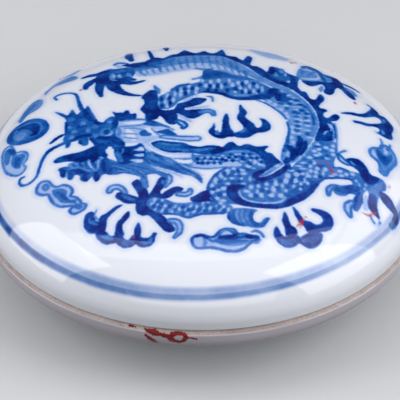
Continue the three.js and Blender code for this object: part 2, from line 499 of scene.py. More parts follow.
def paint_clouds(art):
    art.fill("pale", [(-325, 4), (-316, 4), (-311, -9), (-306, -22), (-293, -26), (-285, -37), (-286, -52),
        (-291, -60), (-286, -70), (-290, -80), (-299, -84), (-310, -76), (-320, -62), (-326, -42),
        (-329, -20), (-329, -6)], "mid", 3)
    art.fill("mid", [(-310, -24), (-303, -30), (-293, -33), (-289, -44), (-294, -58), (-297, -67),
        (-305, -62), (-312, -48)])
    art.stroke("mid", (7, 13, 11, 6), [(-321, -6), (-320, -18), (-320, -30), (-319, -42)])
    art.strokes("deep",
        ((5, 9, 7), [(-318, -6), (-313, -15), (-309, -24)]),
        ((6, 11, 7), [(-303, -38), (-301, -47), (-301, -58)]))
    art.fill("pale", [(-264, -126), (-258, -117), (-247, -118), (-240, -129), (-232, -135), (-222, -132),
        (-211, -138), (-206, -150), (-209, -161), (-201, -164), (-193, -174), (-191, -180), (-184, -183),
        (-185, -192), (-193, -199), (-203, -201), (-209, -193), (-204, -184), (-212, -183), (-226, -180),
        (-236, -170), (-242, -158), (-246, -149), (-257, -146), (-265, -137)], "mid", 4.2)
    art.fill("wash", [(-255, -128), (-249, -125), (-246, -134), (-251, -138)], "mid", 3)
    art.fill("mid", [(-239, -142), (-226, -140), (-216, -147), (-216, -159), (-210, -169), (-201, -170),
        (-200, -178), (-210, -176), (-223, -172), (-230, -162), (-236, -152)])
    art.stroke("deep", (4, 9, 5), [(-230, -148), (-223, -156), (-216, -166)])
    art.stroke("mid", 11, [(-197, -185), (-194, -188)])
    art.fill("pale", [(-15, -280), (-16, -272), (-12, -266), (-4, -263), (4, -264), (10, -267), (18, -267),
        (24, -260), (30, -253), (40, -250), (50, -252), (56, -260), (66, -260), (76, -263), (86, -264),
        (86, -270), (78, -274), (72, -280), (64, -288), (52, -293), (38, -293), (26, -290), (14, -288),
        (6, -288), (-4, -289), (-12, -286)], "deep", 3.8)
    art.fill("mid", [(18, -274), (26, -270), (44, -271), (66, -272), (74, -273), (62, -281), (44, -284),
        (28, -281)])
    art.fill("deep", [(25, -270), (28, -260), (35, -254), (45, -253), (52, -259), (57, -265), (70, -261),
        (84, -263), (88, -266), (80, -269), (66, -269), (54, -271), (40, -272), (30, -273)])
    art.stroke("over_pale", (5, 9, 5), [(31, -262), (38, -259), (45, -261)])
    art.strokes("dark",
        ((3, 6, 6, 4), [(28, -268), (36, -267), (46, -266), (52, -262)]),
        ((4, 6, 4), [(69, -265), (77, -266), (85, -266)]),
        ((3, 5, 3), [(-9, -266), (0, -265), (8, -270)]))
    art.stroke("mid", (3, 5, 5, 4), [(77, -256), (83, -253), (90, -256), (95, -264)])
    art.strokes("wash",
        ((3, 5, 4), [(90, -270), (86, -275), (78, -276)]),
        ((3, 6, 4), [(3, -270), (5, -278), (3, -284)]))
    art.stroke("mid", (3, 4, 3), [(4, -267), (10, -272), (16, -276), (24, -275)])
    art.fill("wash", [(297, -12), (293, -22), (284, -25), (276, -32), (275, -42), (279, -52), (287, -60),
        (290, -72), (289, -83), (295, -89), (301, -84), (304, -74), (310, -63), (317, -50), (319, -38),
        (317, -25), (312, -14), (305, -9)], "mid", 4.2)
    art.fill("deep", [(287, -29), (293, -30), (298, -39), (306, -36), (312, -28), (312, -38), (308, -50),
        (302, -62), (297, -63), (292, -56), (288, -46)])
    art.strokes("over_pale",
        ((3, 8, 4), [(281, -32), (281, -40), (285, -49)]),
        ((4, 9, 5), [(302, -16), (303, -24), (302, -32)]))
    art.strokes("mid",
        ((5, 10, 10, 5), [(292, -76), (293, -81), (296, -84), (299, -80)]),
        ((2, 4, 4), [(296, 5), (298, -4), (298, -14)]),
        ((3, 5, 4), [(312, -2), (310, -10), (306, -20)]))


def paint_pearl(art):
    art.stroke("mid", 70, [(-289, 30.5), (-288.8, 30.5)])
    art.stroke("deep", 9, [(-320, 30.5), (-311, 52.5), (-289, 62), (-267, 52.5), (-258, 30.5), (-267, 8.5),
        (-289, -1), (-311, 8.5)], True)
    art.strokes("over_wash",
        ((16, 19), [(-305, 26), (-301, 21)]),
        ((2, 5, 2), [(-313, 38), (-304, 51), (-290, 56)]))
    art.strokes("dark",
        ((8, 16, 19, 12), [(-304, 46), (-292, 46), (-280, 40), (-275, 26)]),
        ((3, 8, 3), [(-284, 16), (-276, 17), (-272, 26)]))
    art.fill("wash", [(-304, 68), (-309, 78), (-304, 90), (-299, 106), (-292, 124), (-282, 134), (-273, 131),
        (-269, 119), (-271, 104), (-281, 93), (-293, 86), (-298, 76)])
    art.strokes("mid",
        ((5, 13, 7), [(-300, 86), (-294, 102), (-284, 116)]),
        ((3, 7, 5), [(-304, 72), (-302, 80), (-296, 88)]))
    art.strokes("wash",
        ((3, 7, 5), [(-266, 148), (-264, 160), (-256, 172)]),
        ((5, 14, 9), [(-244, 206), (-228, 210), (-214, 224)]))
    art.fill("wash", [(-260, 170), (-253, 186), (-238, 198), (-222, 200), (-213, 188), (-219, 179),
        (-234, 176), (-248, 172)])


def paint_flames(art):
    """Each group is a few dark blades on a paler foot."""
    art.fill("dark", [(-165, -244), (-164, -254), (-158, -262), (-150, -268), (-142, -269), (-134, -269),
        (-129, -274), (-121, -279), (-111, -279), (-103, -275), (-98, -279), (-90, -282), (-81, -281),
        (-75, -275), (-73, -266), (-71, -258), (-76, -257), (-81, -265), (-92, -266), (-99, -260),
        (-108, -260), (-114, -267), (-121, -264), (-127, -254), (-136, -256), (-144, -256), (-151, -246)])
    art.strokes("over_mid",
        ((3, 9, 5), [(-156, -253), (-148, -257), (-140, -262)]),
        ((3, 7, 7, 3), [(-94, -273), (-88, -275), (-82, -273), (-78, -268)]))
    art.stroke("over_deep", (4, 9, 4), [(-124, -270), (-116, -273), (-108, -272)])
    art.fills("dark",
        [(-166, -197), (-168, -206), (-174, -202), (-180, -204), (-184, -210), (-185, -220), (-184, -232),
         (-178, -240), (-168, -244), (-160, -242), (-160, -228), (-167, -222), (-169, -212)],
        [(-126, -192), (-134, -193), (-142, -200), (-150, -208), (-159, -214), (-162, -226), (-164, -238),
         (-160, -246), (-154, -248), (-151, -242), (-150, -230), (-149, -220), (-144, -212), (-136, -202),
         (-130, -196)],
        [(-115, -208), (-114, -216), (-118, -225), (-124, -234), (-125, -243), (-122, -256), (-128, -261),
         (-135, -258), (-135, -244), (-132, -230), (-126, -221), (-120, -212)],
        [(-100, -234), (-96, -244), (-96, -260), (-100, -266), (-105, -260), (-105, -248)])
    art.stroke("over_mid", (2, 6, 7, 3), [(-177, -216), (-175, -223), (-170, -227), (-165, -230)])
    art.stroke("over_wash", (2, 5, 3), [(-169, -208), (-168, -214), (-164, -220)])
    art.stroke("mid", (3, 8, 8, 3), [(-180, -236), (-176, -240), (-170, -242), (-164, -246)])
    art.fills("dark",
        [(113, -260), (122, -261), (132, -260), (142, -259), (149, -256), (153, -259), (159, -253),
         (166, -249), (176, -249), (184, -244), (188, -246), (186, -256), (179, -266), (170, -272),
         (162, -272), (152, -268), (148, -270), (142, -275), (132, -278), (123, -276), (117, -270)],
        [(116, -242), (119, -246), (122, -254), (126, -260), (124, -266), (117, -268), (112, -262),
         (112, -252)],
        [(130, -209), (134, -218), (136, -228), (139, -237), (146, -243), (148, -252), (143, -260),
         (134, -261), (130, -253), (129, -242), (126, -230), (127, -219)],
        [(143, -196), (149, -204), (153, -211), (157, -219), (158, -226), (153, -229), (148, -219),
         (145, -208)],
        [(154, -227), (161, -225), (169, -226), (178, -230), (185, -228), (190, -221), (188, -212),
         (180, -206), (173, -202), (174, -197), (186, -198), (197, -202), (204, -210), (206, -220),
         (203, -230), (196, -237), (186, -241), (179, -248), (170, -250), (164, -245), (160, -237)])
    art.strokes("over_deep",
        ((3, 10, 9, 4), [(122, -268), (130, -270), (138, -267), (144, -264)]),
        ((4, 10, 9, 3), [(158, -262), (166, -260), (174, -257), (180, -252)]))
    art.fills("dark",
        [(21, 8), (22, -2), (21, -10), (26, -17), (32, -16), (34, -6), (35, 8), (36, 22), (41, 38), (45, 26),
         (45, 10), (48, -6), (54, -19), (52, -28), (43, -29), (34, -34), (23, -31), (15, -23), (12, -13),
         (17, -2)],
        [(65, 66), (70, 56), (75, 43), (72, 30), (79, 19), (86, 9), (90, -1), (96, 0), (100, 8), (100, 18),
         (97, 26), (105, 24), (112, 14), (114, 4), (111, -6), (102, -13), (92, -15), (84, -22), (76, -29),
         (64, -31), (53, -27), (50, -21), (60, -15), (68, -8), (69, 2), (65, 12), (60, 22), (60, 32),
         (63, 44), (63, 56)])
    art.strokes("over_mid",
        ((3, 7, 3), [(26, -13), (25, -20), (30, -23)]),
        ((2, 5, 2), [(72, -2), (69, -10), (62, -17)]))
    art.fills("dark", [(234, 64), (244, 69), (254, 70.5), (264, 69), (273, 73), (280, 83), (285, 93),
        (287, 102), (280, 111), (289, 105), (297, 94), (300, 86), (309, 85), (317, 75), (322, 62), (320, 48),
        (317, 36), (318, 24), (315, 16), (308, 14), (300, 17), (293, 21), (297, 30), (295, 38), (286, 38),
        (276, 35), (265, 38), (255, 40), (254, 46), (266, 45), (278, 43), (290, 48), (299, 55), (303, 63),
        (299, 72), (292, 73), (284, 68), (274, 62), (264, 61), (252, 63)])
    art.strokes("over_wash",
        ((5, 9, 5), [(301, 34), (302, 29), (302, 24)]),
        ((1, 5, 2), [(289, 24), (293, 21), (296, 21)]))
    art.stroke("over_mid", (3, 8, 3), [(308, 76), (306, 68), (305, 60)])


def paint_tail(art):
    """The tail, its fins and the far cloud."""
    art.stroke("pale", (8, 22, 26, 14), [(90, 274), (108, 262), (126, 252), (144, 242)])
    art.fill("deep", [(84, 203), (93, 205), (99, 200), (105, 188), (112, 185), (116, 193), (119, 205),
        (127, 206), (136, 201), (141, 199), (144, 190), (150, 183), (159, 178), (167, 169), (165, 154),
        (164, 136), (168, 124), (154, 129), (136, 140), (118, 154), (103, 170), (91, 187)])
    art.strokes("dark",
        ((8, 13, 12, 8), [(90, 198), (102, 184), (110, 173), (118, 162)]),
        ((6, 10, 8), [(123, 202), (123, 192), (120, 182)]),
        ((8, 13, 12), [(130, 149), (146, 142), (158, 132)]),
        ((5, 9, 12), [(154, 176), (158, 160), (157, 142)]))
    art.spots("over_wash", (3.8, 7.5), [(128.5, 177), (138, 190), (148.5, 153)])
    art.spots("over_pale", (2.5, 6), [(144.5, 180), (149, 153)])
    art.fill("wash", [(164, 176), (166, 196), (173, 210), (184, 215), (196, 208), (206, 196), (214, 188),
        (230, 189), (234, 174), (226, 158), (206, 161), (186, 162), (170, 164)])
    art.strokes("over_pale",
        ((5, 8, 9, 7, 4), [(172, 170), (186, 170), (200, 174), (203, 184), (198, 194)]),
        ((4, 8, 5), [(176, 204), (184, 205), (190, 201)]))
    art.strokes("mid",
        ((2, 6, 3), [(175, 200), (173, 192), (173, 184)]),
        ((2, 7, 3), [(191, 194), (188, 189), (184, 185)]))
    art.strokes("deep",
        ((4, 7, 6, 5), [(174, 215), (185, 219), (198, 210), (208, 196)]),
        ((4, 8, 9, 9), [(207, 196), (218, 190), (228, 186), (232, 170)]),
        ((4, 7, 5), [(204, 194), (209, 180), (212, 166)]))
    art.fill("dark", [(172, 162), (178, 151), (186, 145), (195, 148), (204, 155), (210, 150), (211, 140),
        (208, 131), (211, 123), (219, 121), (225, 130), (228, 143), (233, 149), (240, 143), (245, 132),
        (251, 122), (259, 115), (261, 123), (256, 136), (248, 150), (243, 162), (239, 176), (232, 189),
        (225, 182), (226, 169), (216, 163), (204, 164), (188, 162)])
    art.strokes("wash",
        ((3, 8, 5), [(203, 129), (204, 138), (206, 146)]),
        ((4, 9, 5), [(248, 156), (256, 146), (263, 132)]))
    art.stroke("deep", (5, 8, 6, 3), [(238, 172), (250, 168), (260, 163), (270, 154)])


def paint_upper_foot(art):
    """The far foot at the upper left."""
    art.fill("deep", [(-168, 196), (-160, 206), (-146, 204), (-130, 206), (-118, 200), (-114, 188),
        (-116, 174), (-126, 162), (-144, 154), (-162, 152), (-176, 162), (-180, 178)])
    art.strokes("dark",
        ((4, 9, 11, 13), [(-204, 182), (-192, 187), (-178, 189), (-164, 196)]),
        ((8, 14, 12, 15), [(-197, 142), (-195, 152), (-186, 165), (-172, 174)]),
        ((6, 13, 17, 24, 20), [(-169, 110), (-172, 124), (-173, 140), (-170, 160), (-169, 186)]),
        ((3, 7, 11, 16, 22, 24), [(-102, 101), (-116, 105), (-129, 112), (-140, 123), (-148, 136),
         (-152, 152)]),
        ((3, 8, 13, 19, 18), [(-97, 153), (-108, 148), (-120, 147), (-132, 154), (-148, 156)]),
        ((3, 10, 11, 5), [(-129, 223), (-125, 215), (-118, 212), (-106, 210)]),
        ((12, 14, 6), [(-136, 162), (-124, 162), (-114, 158)]))
    art.strokes("over_wash",
        ((5, 11, 9, 5), [(-152, 186), (-153, 174), (-151, 164), (-144, 160)]),
        ((3, 8, 6), [(-141, 184), (-139, 176), (-138, 169)]),
        ((4, 9, 5), [(-127, 186), (-124, 178), (-120, 172)]))
    art.spots("over_pale", (3, 7), [(-149.5, 177), (-141, 177)])
    art.stroke("over_mid", (5, 11, 5), [(-150, 195), (-142, 194), (-132, 194)])
    art.stroke("wash", (3, 6, 5, 5), [(-112, 202), (-106, 190), (-102, 180), (-96, 174)])
    art.stroke("mid", (5, 7, 7), [(-150, 222), (-144, 227), (-134, 225)])
    art.stroke("pale", (6, 10, 6), [(-147, 219), (-142, 214), (-138, 209)])


def paint_upper_body(art):
    """From the upper left over the far side down to the main coil."""
    art.fill("pale", [(-134, 206), (-108, 212), (-80, 223), (-50, 239), (-20, 243), (4, 244), (30, 242),
        (48, 232), (64, 216), (80, 196), (96, 174), (112, 156), (132, 140), (152, 126), (166, 108), (150, 96),
        (124, 126), (104, 142), (80, 152), (54, 157), (20, 156), (6, 154), (7, 174), (-2, 186), (-18, 187),
        (-30, 184), (-50, 179), (-70, 172), (-90, 169), (-106, 170), (-116, 184)])
    art.fill("wash", [(-134, 206), (-108, 212), (-80, 223), (-50, 239), (-20, 243), (4, 244), (30, 242),
        (48, 232), (64, 216), (80, 196), (96, 174), (112, 156), (132, 140), (152, 126), (134, 122),
        (104, 146), (84, 166), (66, 180), (46, 196), (24, 208), (0, 214), (-24, 212), (-50, 204), (-74, 198),
        (-94, 194), (-116, 190)])
    for x, y in ((-95, 197), (-84, 198), (-72, 200), (-60, 203), (-48, 206), (-36, 210), (-24, 212),
                 (-11, 213), (2, 214), (15, 212), (28, 208), (40, 202), (52, 194), (64, 184), (76, 174)):
        art.stroke("wash", (3, 4, 2), [(x, y), (x + 1, y - 9), (x + 4, y - 19)])
    for x, y in ((-120, 208), (-106, 210), (-73, 218), (-53, 230), (-39, 236), (-26, 240), (-13, 241),
                 (0, 242), (13, 241), (26, 239), (38, 234), (50, 222), (62, 206), (74, 190)):
        art.stroke("mid", (2, 5, 3), [(x, y), (x + .5, y - 12), (x + 3, y - 26)])
    art.strokes("mid",
        ((6, 16, 14), [(-98, 216), (-76, 218), (-50, 230)]),
        ((4, 8, 6), [(-126, 202), (-110, 199), (-90, 199)]),
        ((3, 6, 4), [(-10, 192), (6, 188), (20, 190)]))
    art.spots("over_pale", (9.5, 5), [(-1, 201)])
    art.stroke("over_wash", (14, 13, 12, 10), [(8, 144), (30, 181), (66, 158), (96, 148)])
    art.fill("deep", [(4, 182), (12, 189), (24, 184), (40, 178), (54, 168), (68, 167), (80, 159), (90, 153),
        (76, 152), (56, 156), (34, 155), (14, 152), (2, 152), (3, 168)])
    art.strokes("deep",
        ((9, 16, 12), [(-116, 206), (-96, 210), (-74, 218)]),
        ((3, 8, 3), [(-88, 208), (-81, 204), (-74, 200)]))
    art.stroke("over_wash", (3, 7, 9, 10, 10, 9), [(46, 229), (62, 212), (76, 194), (90, 175), (104, 159),
        (114, 148)])
    art.fill("dark", [(-98, 223), (-80, 240), (-66, 236), (-56, 245), (-48, 250), (-40, 253), (-33, 263),
        (-28, 267), (-20, 260), (-10, 254), (-2, 258), (6, 262), (14, 255), (24, 254), (32, 263), (37, 269),
        (41, 256), (44, 246), (52, 242), (60, 240), (66, 232), (73, 226), (78, 238), (82, 245), (88, 239),
        (87, 226), (85, 212), (90, 203), (99, 202), (110, 186), (110, 163), (98, 176), (86, 193), (74, 208),
        (60, 222), (46, 235), (30, 243), (0, 245), (-20, 244), (-50, 239), (-66, 226), (-80, 222)])
    art.strokes("dark",
        ((5, 13, 12), [(-134, 216), (-120, 215), (-96, 219)]),
        ((3, 6, 7), [(-92, 274), (-89, 258), (-84, 236)]),
        ((10, 4), [(-62, 282), (-60, 270)]),
        ((11, 14, 8), [(-126, 266), (-126, 252), (-121, 234)]))


def paint_inner_leg(art):
    """The leg inside the main coil, with its foot."""
    art.fill("mid", [(-76, 60), (-76, 84), (-70, 96), (-60, 104), (-50, 115), (-43, 127), (-32, 132),
        (-16, 136), (-2, 143), (0, 156), (27, 157), (54, 157), (78, 153), (102, 142), (120, 124), (128, 106),
        (116, 94), (92, 88), (65, 85), (50, 90), (39, 100), (20, 105), (2, 104), (-10, 98), (-20, 92),
        (-32, 82), (-40, 74), (-46, 62), (-60, 54)])
    art.spots("over_pale", (3.6, 9.5), [(-73, 74), (-60, 78), (-57, 64), (-47, 82), (-57, 97), (-34, 113),
        (-35, 99), (-21, 110), (-21, 128), (-8, 118), (-9, 104), (8, 129), (21, 126), (34, 126), (30, 146),
        (48, 146), (53, 132), (63, 140), (66, 122), (75, 114), (82, 129), (89, 112), (95, 130), (103, 120),
        (2, 146), (16, 142), (57, 106), (77, 144), (96, 104), (-44, 102)])
    art.spots("dark", (2.6, 6.2), [(-67, 88), (-53, 90), (-41, 116), (-28, 119), (-15, 120), (-2, 130),
        (15, 128), (28, 130), (41, 134), (58, 120), (70, 136), (89, 139), (-27, 103), (-66, 66), (-52, 72),
        (44, 114), (69, 108), (81, 106), (97, 113), (12, 112), (25, 110)])
    art.strokes("deep",
        ((4, 8, 5), [(-50, 116), (-36, 129), (-22, 134)]),
        ((5, 11, 5), [(44, 118), (54, 119), (62, 114)]),
        ((6, 14, 20, 18), [(86, 96), (104, 99), (116, 108), (124, 120)]))
    art.strokes("dark",
        ((4, 7, 8, 7, 8), [(6, 107), (22, 105), (36, 101), (48, 91), (64, 86)]),
        ((8, 10, 12, 15), [(62, 86), (80, 88), (96, 92), (110, 96)]),
        ((8, 15, 14), [(110, 96), (120, 108), (126, 120)]))
    art.stroke("over_wash", (3, 6, 7, 4), [(52, 106), (60, 99), (74, 99), (86, 100)])
    art.fill("dark", [(-84, 118), (-91, 112), (-97, 103), (-100, 94), (-96, 86), (-95, 74), (-99, 64),
        (-101, 56), (-97, 48), (-93, 40), (-93, 30), (-90, 21), (-82, 22), (-74, 26), (-70, 34), (-66, 32),
        (-60, 20), (-55, 10), (-46, 7), (-41, 12), (-40, 20), (-40, 32), (-39, 39), (-32, 34), (-22, 25),
        (-12, 24), (-2, 31), (5, 40), (6, 48), (0, 51), (-14, 50), (-26, 49), (-28, 56), (-16, 60), (-4, 66),
        (5, 75), (8, 84), (0, 87), (-8, 88), (-16, 83), (-26, 75), (-38, 70), (-42, 62), (-46, 52), (-60, 50),
        (-70, 56), (-73, 68), (-73, 84), (-74, 100), (-76, 114)])
    art.strokes("mid",
        ((3, 8, 9, 5), [(-79, 132), (-77, 125), (-74, 117), (-72, 106)]),
        ((2, 5, 4, 2), [(9, 92), (16, 91), (19, 84), (19, 76)]))
    art.stroke("over_wash", (3, 7, 4), [(-6, 45), (-2, 42), (1, 39)])
    art.tube((9, 10, 8, 5), [(3, 44), (11, 46), (18, 42), (20, 34)], "mid", 4, "wash")
    art.strokes("over_pale",
        ((9, 11, 6), [(-27, 79), (-20, 86), (-16, 92)]),
        ((5, 8, 7, 4), [(-39, 37), (-31, 29), (-24, 21), (-18, 15)]),
        ((3, 6, 5, 3), [(-25, 54), (-12, 55), (2, 58), (10, 60)]))
    art.tube((7, 10, 9, 5), [(-38, 16), (-32, 9), (-28, 3), (-30, -3)], "deep", 4.2, "pale")
    art.fill("deep", [(-98, 15), (-88, 22), (-78, 19), (-66, 10), (-56, 3), (-52, -1), (-64, 2), (-78, 4),
        (-90, 9)])
    art.stroke("wash", (3, 6, 5), [(4, 166), (-4, 156), (-14, 152)])


def paint_main_coil(art):
    """Down the right side: belly plates inside, scales, a pale strip and the dark fin outside."""
    art.fill("wash", [(102, 88), (116, 72), (130, 56), (140, 36), (144, 16), (144, 0), (142, -20), (138, -40),
        (130, -64), (128, -86), (136, -94), (150, -88), (164, -66), (176, -40), (184, -20), (190, 4),
        (190, 30), (186, 56), (176, 82), (162, 106), (144, 120), (128, 126), (120, 110), (110, 96)])
    art.stroke("over_wash", (5, 9, 8, 6, 6, 6, 9, 7), [(109, 88), (124, 73), (136, 58), (144, 40), (148, 14),
        (149, -4), (148, -24), (149, -40)])
    art.spots("over_pale", (4.2, 6), [(114, 80), (123, 72), (133, 57), (141, 46), (143, 37), (149, 6),
        (150, -8), (148, -23), (149.5, -36)])
    art.spots("over_pale", (6, 2.7), [(160, 61), (159, 44), (164, 29), (159, 32), (160, 18), (161, 5),
        (142, 71), (142, 88), (150, 87), (164, 70), (156, 99), (161, 82), (156, 69), (160, -10), (148, 106),
        (134, 119), (179, 56)])
    art.spots("over_pale", (6.6, 3), [(177, 45), (176, 30), (176, 14), (175, 1), (176, -19)])
    art.spots("deep", (4.6, 4), [(160, 91), (148, 78), (133, 77), (142, 63), (166, 78), (155, 52), (175, 51),
        (173, 37), (174, 22), (158, 39), (158, 24), (159, 11), (157, -2), (176, 72), (147, 94), (139, 108),
        (129, 95), (174, -9), (159, 50), (168, 60)])
    art.strokes("deep",
        ((2, 3, 3.5, 4, 3), [(90, 85), (106, 76), (122, 60), (134, 44), (140, 30)]),
        ((3, 3, 3), [(142, 20), (144, 0), (142, -20)]),
        ((4, 6, 8), [(142, -20), (139, -40), (135, -60)]),
        ((8, 14, 15), [(126, 118), (134, 102), (140, 90)]),
        ((4, 5, 5), [(179, 70), (186, 46), (186, 20)]))
    art.strokes("dark",
        ((12, 12, 7), [(120, 118), (128, 102), (130, 88)]),
        ((6, 12, 10, 14, 12), [(160, -20), (162, -32), (159, -46), (154, -60), (144, -80)]),
        ((8, 16, 12, 8), [(138, -48), (146, -54), (149, -64), (136, -90)]),
        ((4, 7, 4), [(170, -30), (168, -50), (160, -68)]))
    art.spots("over_wash", (5, 9.5), [(139.5, -69)])
    art.spots("over_pale", (3, 6), [(139.5, -70)])
    art.strokes("over_wash",
        ((5, 7, 8, 8, 8, 7, 6, 5, 5, 4), [(112, 143), (126, 131), (140, 124), (154, 113), (166, 98),
         (177, 80), (185, 60), (190, 40), (191, 20), (189, 4)]),
        ((3, 3.5, 3.5, 2), [(185, -34), (173, -60), (163, -75), (154, -89)]))
    art.fill("dark", [(110, 162), (124, 150), (140, 138), (154, 128), (164, 114), (175, 98), (185, 78),
        (192, 56), (195, 34), (195, 14), (190, -6), (186, -26), (200, -25), (214, -21), (220, -13), (221, 0),
        (221, 14), (219, 28), (215, 34), (224, 38), (229, 46), (229, 54), (224, 58), (218, 53), (213, 45),
        (207, 44), (203, 50), (204, 59), (210, 65), (207, 71), (199, 72), (197, 79), (201, 89), (206, 98),
        (207, 108), (203, 118), (199, 116), (195, 103), (190, 98), (183, 101), (180, 111), (176, 122),
        (169, 123), (163, 132), (156, 144), (136, 154), (120, 166)])
    art.strokes("over_pale",
        ((3, 8, 6, 3), [(209, 27), (214, 20), (215, 12), (214, 6)]),
        ((2, 5, 4), [(209, 5), (205, 1), (202, -5)]))


def paint_haunch(art):
    """The body's second turn, in front of the main coil, down to the right leg."""
    art.fill("mid", [(185, -29), (210, -23), (220, -28), (221, -44), (220, -60), (214, -76), (215, -93),
        (224, -92), (236, -98), (250, -100), (264, -104), (274, -116), (272, -130), (256, -138), (246, -130),
        (240, -120), (224, -118), (206, -121), (192, -127), (184, -138), (172, -148), (154, -160),
        (134, -170), (124, -150), (124, -130), (140, -112), (150, -94), (164, -72), (176, -48)])
    art.spots("over_pale", (4.4, 4.8), [(190, -36), (191, -49), (203, -43), (183, -55), (192, -61),
        (186, -66), (175, -73), (174, -96), (186, -100), (175, -108), (199, -100), (183, -120), (162, -116),
        (172, -121), (169, -139), (158, -142), (157, -154), (223, -101), (233, -107), (243, -105),
        (253, -110), (214, -110), (225, -112), (249, -120), (254, -129), (264, -126), (259, -119),
        (244, -116), (208, -117), (213, -49), (214, -60), (215, -36)])
    art.spots("over_pale", (6.2, 3.4), [(164, -89), (156, -98), (163, -104), (202, -72), (144, -110)])
    art.spots("over_pale", (5, 8), [(134, -137), (152, -119), (138, -124)])
    art.spots("over_pale", (3.4, 6), [(148, -136), (164, -132), (146, -149), (128, -150), (134, -160)])
    art.spots("over_pale", (3.6, 7.8), [(181, -86), (184, -110), (195, -112), (169, -119), (150, -134)])
    art.spots("deep", (3.6, 3.6), [(186, -74), (166, -79), (171, -130), (143, -134), (202, -52), (204, -63),
        (196, -31), (188, -43), (197, -55), (169, -95), (157, -111), (192, -92), (162, -149), (175, -85),
        (190, -121), (158, -132), (195, -72), (126, -136), (121, -154)])
    art.stroke("wash", (2, 3, 3, 3, 2.5), [(221, 30), (223, 10), (222, -14), (221, -34), (219, -54)])
    art.strokes("deep",
        ((3, 4, 3), [(213, -94), (224, -93), (236, -98)]),
        ((2, 4, 4, 3), [(189, -126), (206, -121), (224, -118), (240, -119)]),
        ((4, 6, 6), [(194, -126), (186, -134), (182, -144)]))
    art.stroke("over_pale", (2, 3, 3, 2), [(216, 26), (218, 8), (217, -10), (216, -28)])
    art.stroke("wash", (3, 5, 5), [(220, -55), (226, -52), (234, -46)])
    art.stroke("over_pale", (1.5, 2, 2, 1), [(184, -34), (172, -60), (163, -75), (154, -89)])


def paint_right_foot(art):
    art.fill("mid", [(240, -118), (254, -102), (266, -100), (280, -100), (290, -101), (297, -109),
        (296, -119), (290, -126), (286, -136), (282, -146), (279, -160), (272, -162), (269, -148),
        (265, -136), (260, -142), (256, -154), (253, -168), (249, -180), (242, -186), (239, -176),
        (240, -166), (245, -154), (235, -153), (229, -159), (220, -161), (212, -157), (209, -148),
        (204, -140), (210, -135), (224, -136), (235, -133), (242, -129)])
    art.spots("over_pale", (3, 3.6), [(253, -129), (263, -126), (252, -140), (248, -120), (261, -135),
        (279, -114)])
    art.fills("dark",
        [(235, -68), (242, -64), (250, -63), (257, -66), (263, -75), (268, -85), (271, -95), (276, -100),
         (286, -102), (282, -112), (274, -120), (266, -120), (259, -112), (256, -102), (252, -93), (246, -87),
         (239, -82), (237, -74)],
        [(285, -132), (292, -129), (302, -134), (309, -144), (315, -154), (315, -164), (310, -174),
         (305, -172), (308, -162), (302, -157), (294, -152), (287, -144)])
    art.strokes("dark",
        ((11, 13, 15, 5), [(273, -146), (272, -158), (273, -170), (280, -181)]),
        ((3, 6, 3), [(262, -106), (264, -114), (270, -120)]))
    art.strokes("deep",
        ((8, 15, 16, 12), [(214, -146), (226, -148), (238, -142), (248, -139)]),
        ((8, 13, 13, 7), [(252, -150), (250, -162), (246, -172), (244, -183)]),
        ((3, 5, 3), [(294, -110), (293, -120), (288, -128)]))
    art.stroke("over_wash", (3, 7, 3), [(242, -72), (244, -77), (248, -80)])
    art.tube((3, 8, 9, 6), [(223, -58), (226, -68), (230, -74), (237, -80)], "deep", 3.4, "pale")
    art.tube((7, 8, 6, 3), [(208, -141), (204, -146), (202, -153), (201, -162)], "mid", 4, "pale")
    art.tube((9, 11, 10, 5), [(237, -173), (232, -179), (231, -189), (234, -198)], "mid", 4.2, "pale")
    art.strokes("mid",
        ((2, 3.5, 3), [(267, -186), (272, -194), (280, -199)]),
        ((2, 3, 2), [(280, -180), (283, -188), (281, -194)]),
        ((5, 8, 7), [(310, -164), (307, -174), (301, -184)]))
    art.stroke("pale", (3, 9, 8), [(262, -150), (261, -164), (260, -174)])


